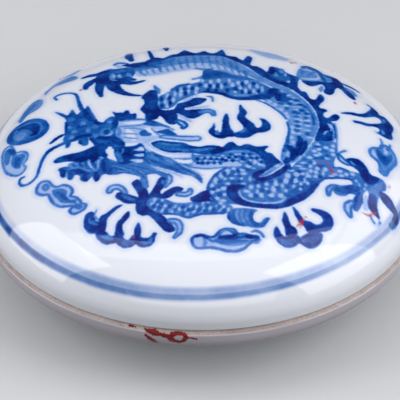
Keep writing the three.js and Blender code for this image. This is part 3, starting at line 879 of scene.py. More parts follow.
def paint_lower_coil(art):
    """The near loop of the body with its dark fin, and the tuft under it."""
    art.fill("mid", [(40, -110), (29, -118), (20, -129), (15, -140), (11, -150), (9, -161), (11, -173),
        (15, -183), (23, -193), (36, -196), (60, -196), (90, -196), (120, -194), (140, -180), (160, -160),
        (182, -144), (184, -130), (170, -120), (156, -110), (140, -106), (126, -124), (108, -138), (86, -139),
        (80, -128), (90, -116), (104, -104), (80, -106), (60, -106)])
    art.spots("over_pale", (4.8, 8.2), [(31, -130), (41, -120), (22, -142), (118, -145), (114, -159)])
    art.spots("over_pale", (4.8, 6), [(51, -114), (15, -154), (61, -106), (78, -156), (94, -174), (110, -173),
        (125, -173), (78, -175)])
    art.spots("over_pale", (6, 4.2), [(16, -170), (24, -165), (24, -184), (33, -189), (34, -161), (71, -166),
        (67, -124), (65, -116), (74, -104), (86, -95)])
    art.spots("over_pale", (4.2, 3.4), [(36, -175), (41, -149), (37, -138), (48, -136), (54, -126),
        (63, -136), (66, -148), (81, -112), (91, -105), (85, -120)])
    art.spots("over_pale", (3.2, 5.8), [(77, -136), (90, -153), (102, -159), (103, -147), (88, -166)])
    art.spots("deep", (3.6, 4), [(29, -145), (26, -157), (48, -129), (59, -131), (36, -125), (50, -121),
        (58, -119), (28, -176), (86, -144), (122, -161), (145, -127), (142, -141), (59, -143), (50, -144),
        (105, -166), (85, -176), (160, -126), (156, -142), (31, -152), (125, -138), (96, -163), (19, -162),
        (110, -140), (96, -142), (74, -112), (171, -130), (136, -153)])
    art.strokes("deep",
        ((3, 3, 3, 4), [(39, -111), (24, -125), (14, -143), (9, -160)]),
        ((3, 4, 4), [(9, -160), (12, -176), (22, -192)]),
        ((14, 24, 24, 16), [(138, -168), (152, -164), (166, -154), (178, -140)]))
    art.fill("dark", [(43, -154), (40, -165), (40, -176), (46, -186), (54, -194), (64, -199), (80, -202),
        (100, -203), (120, -202), (136, -196), (150, -187), (164, -176), (173, -164), (179, -150),
        (184, -139), (176, -142), (168, -156), (156, -166), (146, -174), (137, -180), (128, -189),
        (114, -193.5), (90, -194), (73, -191), (61, -183), (56, -172), (57, -164), (66, -158), (69, -154),
        (58, -151)])
    art.stroke("over_pale", (3, 4.5, 5, 5, 5, 5, 4, 2), [(59, -165), (61, -176), (69, -185), (82, -190),
        (98, -191.5), (114, -190), (127, -184), (134, -172)])
    art.fill("mid", [(86, -208), (70, -205), (50, -206), (42, -212), (40, -224), (44, -234), (52, -239),
        (60, -243), (70, -244), (80, -246), (90, -246), (98, -242), (101, -234), (106, -226), (102, -223),
        (96, -228), (92, -234), (84, -235), (79, -230), (79, -222), (82, -214)])
    art.strokes("deep",
        ((3, 6, 6, 3), [(43, -216), (43, -226), (50, -236), (64, -242)]),
        ((2, 5, 7, 4), [(78, -210), (76, -224), (82, -238), (94, -241)]),
        ((3, 5, 3), [(94, -240), (99, -233), (103, -226)]),
        ((2, 3, 2), [(50, -212), (50, -224), (55, -235)]))
    for x in (55, 63, 72):
        art.stroke("over_wash", (2, 3.5, 3.5, 1.5), [(x, -210), (x - 1.5, -219), (x, -229), (x + 5, -238)])


def paint_neck(art):
    """The neck's arch from under the mane to the near coil."""
    art.fill("mid", [(-16, -82), (0, -79), (20, -78), (34, -73), (50, -67), (70, -66), (86, -72), (98, -84),
        (104, -100), (108, -110), (94, -120), (80, -124), (68, -114), (54, -108), (36, -109), (20, -112),
        (2, -113), (-18, -108), (-28, -102), (-16, -96)])
    art.fill("over_pale", [(-26, -100), (-10, -97), (0, -104), (16, -99), (34, -98), (46, -93), (60, -96),
        (62, -106), (44, -108), (20, -111), (0, -112), (-16, -108)])
    art.spots("over_pale", (3, 3), [(1, -86), (10, -84), (20, -85), (29, -86), (39, -86), (50, -82),
        (62, -75), (73, -79), (-3, -94), (6, -93), (15, -93), (24, -94), (33, -93), (44, -90), (57, -88),
        (79, -89), (85, -79), (72, -104), (93, -88), (65, -94), (34, -80), (56, -76), (99, -103), (83, -110)])
    art.spots("over_pale", (5, 5.5), [(86, -94), (94, -99), (75, -106), (60, -102)])
    art.spots("dark", (2.7, 2.7), [(5, -87), (15, -89), (24, -89), (33, -90), (44, -84), (66, -84), (55, -82),
        (75, -96), (80, -84), (-7, -89), (68, -89), (89, -84), (67, -73), (47, -76), (1, -99), (10, -99),
        (20, -99), (30, -100), (-6, -99), (78, -100), (39, -92), (78, -74), (96, -94), (50, -93)])
    art.stroke("wash", (3, 3.5, 3.5, 3), [(-28, -104), (-8, -112), (16, -113), (40, -109)])
    art.fill("dark", [(24, -56), (34, -58), (39, -51), (43, -46), (49, -43), (54, -47), (58, -53), (64, -53),
        (69, -50), (75, -48), (82, -51), (88, -54), (95, -53), (104, -51), (108, -52), (104, -58), (102, -63),
        (106, -68), (113, -70), (117, -77), (122, -84), (127, -90), (129, -96), (124, -99), (117, -100),
        (112, -106), (105, -110), (102, -98), (99, -88), (92, -77), (82, -69), (70, -65), (54, -65),
        (40, -70), (28, -76), (16, -77)])
    art.stroke("over_wash", (3.5, 3.5, 3.5, 3.5, 3.5, 3.5, 3.5, 3, 2), [(-14, -79.5), (6, -79.5), (20, -78.5),
        (32, -74), (44, -68.5), (58, -66), (74, -66), (88, -73), (100, -90)])
    art.strokes("dark",
        ((3, 8, 10, 8), [(106, -109), (94, -119), (85, -129), (90, -136)]),
        ((8, 10, 10, 11, 7), [(90, -137), (103, -134), (116, -126), (128, -114), (136, -102)]))
    art.stroke("over_wash", (6, 9, 7, 6, 5, 3), [(128, -95), (122, -101), (115, -110), (108, -118),
        (99, -126), (92, -129)])
    art.spots("over_pale", (5, 4), [(122, -101)])
    art.stroke("deep", (5, 10, 6), [(135, -88), (138, -97), (142, -106)])


def paint_lower_foot(art):
    """The near foot at the lower left, with its leg from the coil."""
    art.fill("mid", [(-84, -182), (-74, -179), (-62, -182), (-52, -188), (-40, -194), (-26, -194),
        (-12, -192), (4, -189), (18, -188), (28, -194), (44, -198), (48, -208), (36, -217), (20, -216),
        (6, -217), (-4, -220), (-12, -224), (-20, -227), (-30, -223), (-39, -218), (-52, -217), (-66, -216),
        (-76, -212), (-84, -204), (-87, -193)])
    art.spots("over_pale", (3, 5.8), [(-74, -185), (-63, -187), (-79, -194), (-70, -196), (-58, -199),
        (-73, -204), (-51, -207), (-42, -202), (-35, -207), (-26, -209), (-18, -202), (-13, -213), (-9, -203),
        (2, -194), (4, -205), (10, -193), (13, -206), (22, -204), (27, -211), (34, -203), (41, -209),
        (-23, -219), (-1, -213), (-46, -212), (30, -196), (-62, -209)], 20)
    art.spots("deep", (3, 4.5), [(-64, -194), (-67, -203), (-50, -200), (-42, -209), (-30, -203), (-21, -209),
        (-4, -209), (8, -200), (19, -209), (-56, -210), (-14, -206), (27, -204), (-31, -216), (-76, -199),
        (35, -211), (-69, -189), (6, -212)], 20)
    art.stroke("deep", (3, 3, 4, 4, 3), [(-64, -217), (-42, -218), (-21, -226), (-2, -219), (34, -217)])
    art.fills("dark",
        [(-18, -183), (-11, -178), (-1, -170), (8, -166), (11, -174), (13, -185), (17, -190), (7, -190),
         (-5, -192), (-15, -191)],
        [(-136, -169), (-134, -164), (-128, -163), (-122, -166), (-114, -170), (-105, -175), (-100, -177),
         (-102, -166), (-107, -154), (-111, -145), (-109, -139), (-103, -135), (-98, -139), (-96, -147),
         (-91, -155), (-87, -162), (-84, -172), (-80, -166), (-75, -154), (-71, -143), (-68, -135),
         (-62, -131), (-56, -135), (-56, -144), (-60, -155), (-66, -165), (-64, -172), (-56, -165),
         (-48, -159), (-40, -156), (-33, -158), (-30, -163), (-35, -168), (-43, -170), (-47, -176),
         (-56, -182), (-66, -181), (-76, -178), (-85, -184), (-87, -194), (-83, -204), (-74, -211),
         (-66, -216), (-58, -225), (-52, -234), (-46, -242), (-42, -250), (-45, -255), (-52, -256),
         (-59, -252), (-66, -242), (-74, -230), (-84, -218), (-94, -218), (-102, -211), (-104, -200),
         (-104, -191), (-112, -190), (-122, -187), (-130, -180), (-136, -174)])
    art.tube((8, 9, 9, 8, 6), [(-147, -158), (-144, -151), (-136, -149), (-128, -154), (-122, -164)], "mid",
        3.8, "pale")
    art.tube((7, 8, 7), [(-93, -129), (-92, -139), (-89.5, -152)], "mid", 3.2, "wash")
    art.tube((6, 8, 7, 3), [(-62, -126), (-53, -131), (-52, -142), (-58, -155)], "mid", 3.4, "pale")
    art.tube((8, 9, 9, 4), [(-37, -173), (-26, -174), (-19, -169), (-19, -163)], "mid", 3.6, "pale")
    art.tube((7, 9, 8, 7, 3), [(-50, -232), (-40, -234), (-35, -244), (-36, -257), (-43, -267)], "mid", 3.8,
        "pale")
    art.strokes("over_mid",
        ((3, 8, 5), [(-128, -169), (-118, -176), (-108, -182)]),
        ((2, 5, 3), [(-53, -231), (-50, -236), (-48, -240)]))
    art.spots("over_mid", (3, 5), [(-62, -144)])


def paint_mane(art):
    """The hair behind the head, the horn and the leaf above the neck."""
    art.fill("mid", [(-154, -78), (-138, -86), (-124, -94), (-110, -93), (-95, -92), (-93, -69), (-82, -66),
        (-72, -70), (-62, -79), (-50, -85), (-43, -92), (-36, -100), (-24, -109), (-14, -118), (-5, -127),
        (0, -136), (1, -148), (-3, -145), (-9, -137), (-18, -130), (-30, -126), (-40, -121), (-50, -115),
        (-60, -111), (-70, -106), (-79, -103), (-74, -112), (-62, -120), (-54, -127), (-57, -134),
        (-66, -128), (-74, -123), (-84, -123), (-90, -126), (-91, -134), (-98, -129), (-106, -124),
        (-116, -120), (-126, -117), (-138, -119), (-150, -116), (-150, -100)])
    thin = (1.5, 3.2, 1.5)
    for hair in ([(-146, -88), (-130, -98), (-112, -109), (-98, -119)],
                 [(-146, -100), (-130, -107), (-114, -116)],
                 [(-124, -97), (-106, -102), (-88, -110), (-76, -119)],
                 [(-91, -72), (-90, -86), (-84, -98)],
                 [(-90, -80), (-80, -90), (-68, -100), (-56, -108)],
                 [(-66, -84), (-52, -96), (-38, -108), (-24, -118)],
                 [(-74, -92), (-58, -103), (-42, -114), (-26, -123)],
                 [(-42, -98), (-28, -112), (-13, -125), (-2, -140)],
                 [(-86, -70), (-76, -76), (-64, -82)],
                 [(-104, -114), (-96, -122), (-93, -130)]):
        art.stroke("deep", thin, hair)
    for gap in ([(-138, -98), (-124, -106), (-108, -115)],
                [(-108, -112), (-96, -119), (-90, -130)],
                [(-84, -72), (-78, -82), (-70, -90)],
                [(-94, -96), (-80, -102), (-68, -114)],
                [(-60, -87), (-48, -99), (-34, -112)],
                [(-34, -118), (-20, -124), (-8, -134)],
                [(-136, -111), (-120, -113), (-106, -119)]):
        art.stroke("over_wash", thin, gap)
    art.stroke("over_wash", (4, 9, 5), [(-82, -73), (-78, -80), (-72, -86)])
    art.strokes("over_pale",
        ((1.5, 5, 6, 5, 1.5), [(-79, -105), (-66, -112), (-52, -120), (-40, -126), (-32, -132)]),
        ((1.5, 4, 4, 1.5), [(-34, -103), (-22, -112), (-10, -120), (0, -130)]))
    art.fill("over_pale", [(-100, -42), (-94, -39), (-87, -42), (-82, -50), (-74, -60), (-62, -69),
        (-50, -73), (-34, -74), (-18, -74), (-16, -83), (-28, -86), (-44, -85), (-54, -82), (-64, -76),
        (-72, -68), (-84, -64), (-91, -56)])
    art.stroke("bare", (3, 6, 8, 8, 5), [(-93, -45), (-82, -59), (-68, -71), (-50, -79), (-22, -80)])
    art.strokes("mid",
        ((3, 4, 3), [(-102, -43), (-95, -56), (-88, -65)]),
        ((2, 3.5, 3), [(-44, -87), (-30, -88.5), (-16, -87)]),
        ((2, 3.5, 2), [(-15, -74), (-14, -82), (-16, -88)]))
    art.stroke("bare", (6, 10, 10, 7), [(-40, -91), (-32, -94), (-24, -96), (-17, -95)])
    art.stroke("wash", (2, 4, 3), [(-36, -99), (-26, -103), (-16, -103)])
    art.fill("deep", [(-82, -44), (-78, -40), (-68, -37), (-55, -41), (-40, -43), (-28, -46), (-22, -51),
        (-14, -55), (-4, -57), (6, -56), (16, -53), (26, -55), (32, -59), (35, -62), (33, -70), (20, -75),
        (5, -77), (-10, -74), (-35, -71), (-50, -70), (-60, -66), (-70, -60), (-78, -52)])
    art.strokes("over_mid",
        ((3, 6, 4), [(-46, -62), (-34, -65), (-22, -65)]),
        ((3, 7, 6, 3), [(-16, -64), (-4, -65), (10, -61), (22, -62)]),
        ((2, 4, 2), [(-64, -46), (-50, -49), (-36, -51)]))
    art.strokes("dark",
        ((3, 7, 9), [(16, -70), (26, -68), (34, -64)]),
        ((2, 4, 3, 2), [(-79, -44), (-68, -40), (-54, -43), (-40, -46)]),
        ((2, 4, 4, 2), [(-18, -56), (-4, -59), (10, -56), (22, -57)]),
        ((2, 4, 3), [(-66, -61), (-52, -68), (-34, -69)]))
    art.fill("over_pale", [(-96, -25), (-82, -23), (-69, -25), (-69, -32), (-80, -36), (-86, -41),
        (-96, -37)])
    art.tube((7, 10, 10, 12, 11), [(-64, -27), (-50, -29.5), (-32, -33), (-16, -34.5), (-7, -34)], "mid", 3.6,
        "pale")
    art.fills("deep",
        [(-102, -14), (-98, -7), (-93, -5), (-89, -11), (-82, -19), (-88, -23), (-98, -22)],
        [(-73, -12), (-64, -8), (-56, -5), (-51, -10), (-46, -16), (-41, -23), (-50, -24), (-60, -21),
         (-68, -17)])
    art.strokes("wash",
        ((2, 4, 4, 2), [(-82, -3), (-76, -12), (-70, -21), (-66, -30)]),
        ((2, 4, 3), [(-62, 2), (-54, -2), (-46, -9)]))
    art.stroke("pale", (4, 8, 6), [(-84, 3), (-70, -3), (-58, 0)])


def paint_beard(art):
    art.fill("deep", [(-232, -93), (-228, -88), (-220, -87), (-213, -89), (-206, -84), (-196, -80),
        (-186, -78), (-178, -83), (-168, -76), (-160, -71), (-154, -73), (-150, -82), (-146, -92),
        (-144, -104), (-146, -118), (-155, -115), (-161, -118), (-164, -126), (-169, -132), (-173, -126),
        (-175, -118), (-179, -122), (-184, -129), (-189, -129), (-194, -124), (-196, -114), (-201, -110),
        (-205, -112), (-208, -120), (-212, -121), (-216, -114), (-216, -105), (-219, -104), (-220, -112),
        (-224, -114), (-228, -107), (-228, -100)])
    art.fill("over_wash", [(-216, -82), (-206, -77), (-192, -79), (-183, -76), (-175, -84), (-169, -76),
        (-164, -80), (-166, -90), (-173, -98), (-184, -97), (-196, -90), (-212, -92)])
    art.strokes("deep",
        ((2, 5, 4), [(-198, -78), (-197, -85), (-192, -92)]),
        ((3, 5, 4), [(-188, -79), (-187, -88), (-182, -97)]),
        ((3, 6, 5), [(-176, -80), (-174, -89), (-170, -98)]),
        ((2, 4, 2), [(-208, -83), (-205, -88), (-199, -92)]))
    art.stroke("over_wash", (3, 4, 4, 4, 4, 4, 4, 3), [(-216, -95), (-205, -92), (-195, -94), (-186, -100),
        (-177, -105), (-169, -103), (-167, -93), (-164, -80)])
    art.strokes("over_pale",
        ((2, 3.5, 4, 3), [(-167, -100), (-167.5, -90), (-165, -80), (-159, -72)]),
        ((3, 4.5, 4.5, 3), [(-182, -75), (-182.5, -84), (-179, -93), (-174, -100)]),
        ((2, 3.5, 3), [(-218, -102), (-218, -108), (-217, -114)]))
    art.strokes("dark",
        ((3, 8, 7, 3), [(-210, -98), (-200, -101), (-190, -107), (-182, -112)]),
        ((4, 9, 5), [(-227, -92), (-224, -99), (-223, -108)]),
        ((4, 8, 5), [(-188, -112), (-188, -120), (-186, -126)]),
        ((4, 8, 4), [(-170, -110), (-168, -119), (-168, -128)]),
        ((4, 8, 5), [(-158, -86), (-158, -98), (-156, -108)]),
        ((3, 6, 4), [(-212, -104), (-211, -110), (-212, -118)]))


def paint_head(art):
    """The head in profile to the left: snout, crest, eye, cheek, jaws."""
    art.fill("pale", [(-139, 22), (-120, 26), (-100, 25), (-88, 20), (-84, 8), (-92, 0), (-98, -6),
        (-103, -16), (-98, -25), (-94, -32), (-102, -39), (-124, -38), (-134, -30), (-139, -18), (-139, 4)])
    art.strokes("bare",
        ((3, 9, 10, 6), [(-129, 18), (-118, 17), (-106, 17), (-94, 18)]),
        ((6, 14, 15, 8), [(-122, -2), (-118, -12), (-115, -22), (-110, -32)]))
    art.strokes("wash",
        ((4, 7, 6, 4), [(-137, 6), (-135, -6), (-136, -18), (-130, -30)]),
        ((3, 5, 4, 3), [(-136, 9), (-122, 8), (-106, 9), (-90, 10)]),
        ((2, 3.5, 3), [(-126, 2), (-110, 1), (-98, -4)]),
        ((2, 3.5, 2), [(-129, -12), (-116, -14), (-106, -16)]),
        ((2, 3.5, 2), [(-128, -22), (-118, -26), (-104, -29)]))
    art.stroke("mid", (3, 5, 5, 3), [(-134, 25), (-116, 27.5), (-98, 26), (-86, 22)])
    art.fill("deep", [(-228, 52), (-234, 59), (-245, 74), (-235, 68), (-225, 59), (-221, 63), (-217, 75),
        (-212, 65), (-208, 58), (-204, 62), (-201, 71), (-195, 72), (-191, 82), (-187, 72), (-183, 60),
        (-179, 50), (-176, 40), (-172, 31), (-166, 26), (-161, 27), (-158, 33), (-153, 39), (-148, 41),
        (-138, 34), (-138, 20), (-139, 10), (-141, -10), (-139, -20), (-134, -28), (-127, -35), (-125, -44),
        (-126, -52), (-140, -52), (-155, -49), (-165, -45), (-174, -39), (-176, -32), (-181, -23),
        (-186, -15), (-200, -16), (-210, -18), (-220, -20), (-227, -16), (-226, -5), (-225, 10), (-223, 24),
        (-224, 40)])
    art.strokes("deep",
        ((9, 8, 5), [(-220, -22), (-219, -29), (-220, -34)]),
        ((13, 14, 11), [(-193, -16), (-192, -25), (-191, -31)]))
    art.strokes("dark",
        ((5, 9, 10, 8), [(-196, 70), (-193, 58), (-188, 46), (-183, 36)]),
        ((3, 7, 5), [(-206, 20), (-200, 18), (-192, 20)]),
        ((4, 7, 8, 5), [(-214, -12), (-202, -10), (-190, -8), (-183, -8)]),
        ((4, 8, 9, 4), [(-141, 32), (-143, 20), (-144, 10), (-147, 4)]),
        ((6, 10, 13, 12), [(-167, -19), (-154, -21), (-142, -27), (-132, -40)]),
        ((3, 5, 7), [(-183, -19), (-176, -29), (-170, -40)]),
        ((3, 5, 3), [(-224, 10), (-224, 24), (-225, 38)]),
        ((8, 12, 9), [(-170, -36), (-162, -41), (-158, -48)]),
        ((3, 6, 3), [(-200, -21), (-199, -26), (-196, -31)]),
        ((2, 5, 3), [(-176, 36), (-174, 26), (-166, 22)]),
        ((3, 6, 6, 2), [(-248, -18), (-240, -8), (-232, -1), (-224, 4)]))
    art.spots("over_mid", (5, 6), [(-197, 29), (-187, 6), (-216, 44), (-153, 27), (-176, 14), (-209, 6),
        (-175, -11), (-214, -9)])
    art.spots("over_wash", (3, 4), [(-196, 28), (-186, 7), (-219, 22), (-175, -14), (-154, 25), (-212, -9.5),
        (-209, 9)])
    art.stroke("over_wash", (3, 5, 5, 5, 6, 6, 5, 3), [(-152, 5.5), (-160, 5), (-165, -1), (-164, -9),
        (-158, -14), (-151, -13), (-147, -7), (-148, -2)])
    art.stroke("over_pale", (2, 3.5, 2.5), [(-157, -14), (-150, -12), (-147.5, -6)])
    art.spots("dark", (4, 4.5), [(-156, -4)])
    art.fills("dark",
        [(-148, 55), (-142, 51), (-135, 51), (-130, 49), (-127, 55), (-122, 55), (-119, 46), (-114, 44),
         (-110, 45), (-108, 38), (-109, 31), (-115, 28), (-125, 28), (-135, 26), (-141, 29), (-143, 38),
         (-145, 46)],
        [(-240, -68), (-234, -61), (-225, -57), (-210, -54), (-200, -53), (-190, -49), (-182, -44),
         (-175, -40), (-166, -38), (-159, -42), (-157, -50), (-156, -60), (-153, -68), (-156, -73),
         (-164, -70), (-169, -76), (-173, -82), (-178, -83), (-182, -73), (-186, -77), (-192, -79),
         (-200, -78), (-210, -75), (-220, -73), (-232, -74), (-238, -73)],
        [(-142, -49), (-126, -49), (-114, -49), (-105, -46), (-100, -43), (-95, -50), (-92, -60), (-91, -70),
         (-92, -80), (-94, -88), (-106, -90), (-116, -93), (-126, -95), (-134, -90), (-138, -80), (-141, -68),
         (-142, -56)])
    art.stroke("over_mid", (5, 10, 7), [(-137, -62), (-135, -72), (-130, -86)])
    art.fills("over_pale",
        [(-113, -60), (-105, -55), (-99, -50), (-94, -55), (-93, -63), (-102, -63)],
        [(-111, -73), (-102, -70), (-93, -70), (-93, -78), (-102, -78)],
        [(-117, -85), (-106, -83), (-94, -85), (-95, -93), (-106, -92)])
    art.strokes("bare",
        ((2, 4, 3), [(-104, -58), (-98, -57), (-95, -59)]),
        ((2, 4, 3), [(-106, -88), (-100, -89), (-96, -90)]),
        ((9, 9.5, 8.5, 3), [(-150, -49), (-148, -60), (-144, -72), (-136, -85)]),
        ((3, 7, 6, 3), [(-124, -42), (-118, -43), (-112, -43), (-107, -41)]))
    art.stroke("over_wash", (1, 3, 3, 1), [(-129, -51), (-127, -58), (-129, -64), (-132, -68)])


def paint_whiskers(art):
    art.strokes("deep",
        ((3.5, 3.5, 4, 5, 7, 8), [(-245, 115), (-249, 125), (-240, 132), (-225, 133), (-213, 125),
         (-209, 110), (-206, 95), (-202, 78), (-197, 65)]),
        ((8, 8, 6, 5, 4, 4, 3.5), [(-187, -9), (-200, -14), (-220, -20), (-235, -28), (-248, -37),
         (-255, -49), (-260, -64), (-263, -80), (-265, -95), (-270, -106), (-280, -113), (-290, -111),
         (-295, -102), (-293, -94), (-288, -93)]))
    art.strokes("dark",
        ((3, 7, 3), [(-253, -44), (-246, -36), (-238, -30)]),
        ((2, 5, 2), [(-206, 98), (-203, 84), (-200, 74)]))


def paint_smears(art):
    """Seal paste left by fingers."""
    art.strokes("smear",
        ((2, 9, 2), [(-206, 142), (-204, 135)]),
        ((2, 7, 2), [(153, 233), (161, 225)]),
        ((2, 6, 2), [(160, 235), (167, 228)]),
        ((2, 7, 2), [(259, 108), (261, 98)]),
        ((1, 3.5, 1), [(187, -78), (190, -86), (193, -95)]),
        ((1, 4, 2, 1), [(197, -78), (204, -82), (207, -88), (205, -93)]),
        ((2, 5, 7, 3), [(204, -94), (208, -99), (210, -105), (214, -109)]),
        ((1.5, 3.5, 1.5), [(305, -106), (301, -115)]),
        ((3.5, 5, 5.5, 6, 4), [(255, -185), (262, -186), (268, -183.5), (273, -179), (277, -176)]),
        ((3, 9, 4), [(148, -238), (153, -233), (159, -224)]),
        ((2, 6, 3), [(151, -224), (154, -234), (153, -240)]),
        ((1, 4, 1), [(160, -220), (164, -215)]),
        ((2, 6, 2), [(-109, -261), (-105, -263)]))


def paint(art):
    """Each part goes over the ones before."""
    for part in (paint_clouds, paint_pearl, paint_tail, paint_flames, paint_upper_body, paint_upper_foot,
                 paint_inner_leg, paint_main_coil, paint_lower_coil, paint_haunch, paint_right_foot,
                 paint_lower_foot, paint_neck, paint_mane, paint_beard, paint_head, paint_whiskers,
                 paint_smears):
        part(art)


# Paste wiped on the front of the rim: the way round from the middle of the front, and the way down.
RIM_SMEARS = (
    ((1.5, 3.5, 3.5, 1.5), [(-119, 2.9), (-113, 2.8), (-105, 3)]),
    ((2.5, 7, 13, 7), [(-91, 3.5), (-85, 6), (-78, 7), (-69, 10)]),
    ((4, 7, 9.5, 7), [(-90, 14), (-84, 20), (-79, 25), (-73, 31)]),
    ((5, 8, 8), [(-70, 7), (-62, 10.5), (-52, 12.5)]),
    ((10, 9, 6, 6.5, 7.5, 6, 7, 10),
     [(-52, 14), (-46, 8), (-37, 5), (-28, 7.5), (-26, 13), (-31, 20), (-40, 22), (-49, 18)]),
    ((5, 3, 3.5, 2), [(-27, 12), (-19, 12.5), (-13, 13.5), (-8, 15)]),
)


# Materials.

GLAZE_WHITE = "#E5E8F1"
PER_MM = 1000.0
SOFT = "SMOOTHSTEP"

# Cobalt under the glaze, by how thick it lies: from, to, and its colour there.
COBALT = ((0, 0.12, "#C4D0F0"), (0.12, 0.26, "#A3BBEA"), (0.26, 0.42, "#6C98D8"), (0.42, 0.58, "#3B77C4"),
          (0.58, 0.74, "#165CAE"), (0.74, 0.88, "#003E95"), (0.88, 1.05, "#001C6E"))

# Painted reflection: toward the viewer the darker cobalt is tinted violet-grey, standing in for a veil of
# reflected light.
PAINTED_VEIL_VIOLET = "#6E4C96"
# The banding's cobalt is a greyer lot. Its wash and its line start, are full, fade and end at these radii.
RING_GREY = "#646E7D"
WASH_EDGES = (34.2, 34.9, 35.6, 36.1)
LINE_EDGES = (35, 35.4, 35.6, 36)

# How thick each tone of the painting lies.
TONES = {"pale": 0.2, "wash": 0.45, "mid": 0.57, "deep": 0.73, "dark": 0.92}

# Iron specks and pinholes in the glaze by the ring: x, y, z in millimetres.
SPECKS = ((-23.6, -26.6, 21.4), (-2.4, -36.1, 19.0), (-18.6, -29.9, 21.1), (17.6, -31.3, 20.6))


def brushed_ring(tree, place):
    """How thick the cobalt of the banding lies: a wash and a line outside it, dry at one place in front."""
    flat = node(tree, "VectorMath", {0: place, 1: (1, 1, 0)}, operation="MULTIPLY")
    wobble = node(tree, "TexNoise", {"Vector": place, "Scale": PER_MM / 18})
    offset = node(tree, "Math", {0: wobble, 1: 0.2 * MM, 2: -0.1 * MM}, operation="MULTIPLY_ADD")
    x = node(tree, "SeparateXYZ", {0: place}, "X")
    toward_viewer = node(tree, "SeparateXYZ", {0: place}, "Y")
    toward_viewer = node(tree, "Math", {0: toward_viewer, 1: -1}, operation="MULTIPLY")
    way_round = node(tree, "Math", {0: x, 1: toward_viewer}, operation="ARCTAN2")
    sway = node(tree, "Math", {0: way_round, 1: 2}, operation="MULTIPLY")
    sway = node(tree, "Math", {0: sway}, operation="SINE")
    offset = node(tree, "Math", {0: sway, 1: 0.28 * MM, 2: offset}, operation="MULTIPLY_ADD")
    radius = node(tree, "Math", {0: node(tree, "VectorMath", {0: flat}, 1, operation="LENGTH"), 1: offset},
                  operation="ADD")
    from_thin = node(tree, "Math", {0: node(tree, "Math", {0: way_round, 1: math.radians(18)},
                                            operation="SUBTRACT")}, operation="ABSOLUTE")
    line = node(tree, "MapRange", {"Value": from_thin, "From Min": math.radians(45),
                                   "From Max": math.radians(70), "To Min": 0.5, "To Max": 0.88},
                interpolation_type=SOFT)
    wash = node(tree, "MapRange", {"Value": from_thin, "From Min": math.radians(45),
                                   "From Max": math.radians(65), "To Min": 0.27, "To Max": 0.1},
                interpolation_type=SOFT)
    from_dry = node(tree, "Math", {0: way_round, 1: math.radians(45)}, operation="SUBTRACT")
    dry = node(tree, "MapRange", {"Value": node(tree, "Math", {0: from_dry}, operation="ABSOLUTE"),
                                  "From Min": math.radians(8), "From Max": math.radians(20),
                                  "To Min": 0.55, "To Max": 1}, interpolation_type=SOFT)
    streaks = node(tree, "TexNoise", {"Vector": place, "Scale": PER_MM / 3, "Detail": 3})
    bristles = node(tree, "MapRange", {"Value": streaks, "From Min": 0.3, "From Max": 0.7,
                                       "To Min": 0.75, "To Max": 1.15})
    laid = 0
    for edges, thickness in ((WASH_EDGES, wash), (LINE_EDGES, line)):
        inner, inner_full, outer_full, outer = edges
        rise = node(tree, "MapRange", {"Value": radius, "From Min": inner * MM, "From Max": inner_full * MM},
                    interpolation_type=SOFT)
        fall = node(tree, "MapRange", {"Value": radius, "From Min": outer_full * MM, "From Max": outer * MM,
                                       "To Min": 1, "To Max": 0}, interpolation_type=SOFT)
        band = node(tree, "Math", {0: rise, 1: fall}, operation="MULTIPLY")
        band = node(tree, "Math", {0: band, 1: thickness}, operation="MULTIPLY")
        laid = node(tree, "Math", {0: laid, 1: band}, operation="MAXIMUM")
    laid = node(tree, "Math", {0: laid, 1: dry}, operation="MULTIPLY")
    return node(tree, "Math", {0: laid, 1: bristles}, operation="MULTIPLY")


def brushed_painting(tree, place):
    """How thick the cobalt of the painting lies: it bleeds at its edges, pools and shows the brush."""
    ragged = node(tree, "TexNoise", {"Vector": place, "Scale": PER_MM / 0.7, "Detail": 3})
    ragged = node(tree, "MapRange", {"Value": ragged, "To Min": -0.12, "To Max": 0.12})
    laid = 0
    nearest = -REACH
    for tone, thickness in TONES.items():
        depth = node(tree, "Attribute", out="Fac", attribute_name=tone)
        uneven = node(tree, "Math", {0: depth, 1: ragged}, operation="ADD")
        cover = node(tree, "MapRange", {"Value": uneven, "From Min": -0.26, "From Max": 0.17},
                     interpolation_type=SOFT)
        laid = node(tree, "Mix", {0: cover, 2: laid, 3: thickness})
        nearest = node(tree, "Math", {0: nearest, 1: depth}, operation="MAXIMUM")
    pools = node(tree, "TexNoise", {"Vector": place, "Scale": PER_MM / 2.2, "Detail": 3})
    pools = node(tree, "MapRange", {"Value": pools, "From Min": 0.32, "From Max": 0.68,
                                    "To Min": 0.8, "To Max": 1.1})
    bristles = node(tree, "TexNoise", {"Vector": place, "Scale": PER_MM / 0.45, "Detail": 2})
    bristles = node(tree, "MapRange", {"Value": bristles, "From Min": 0.3, "From Max": 0.7,
                                       "To Min": 0.92, "To Max": 1.06})
    laid = node(tree, "Math", {0: laid, 1: node(tree, "Math", {0: pools, 1: bristles}, operation="MULTIPLY")},
                operation="MULTIPLY")
    halo = node(tree, "MapRange", {"Value": nearest, "From Min": -REACH, "From Max": 0, "To Max": 0.09},
                interpolation_type=SOFT)
    return node(tree, "Math", {0: laid, 1: halo}, operation="ADD")


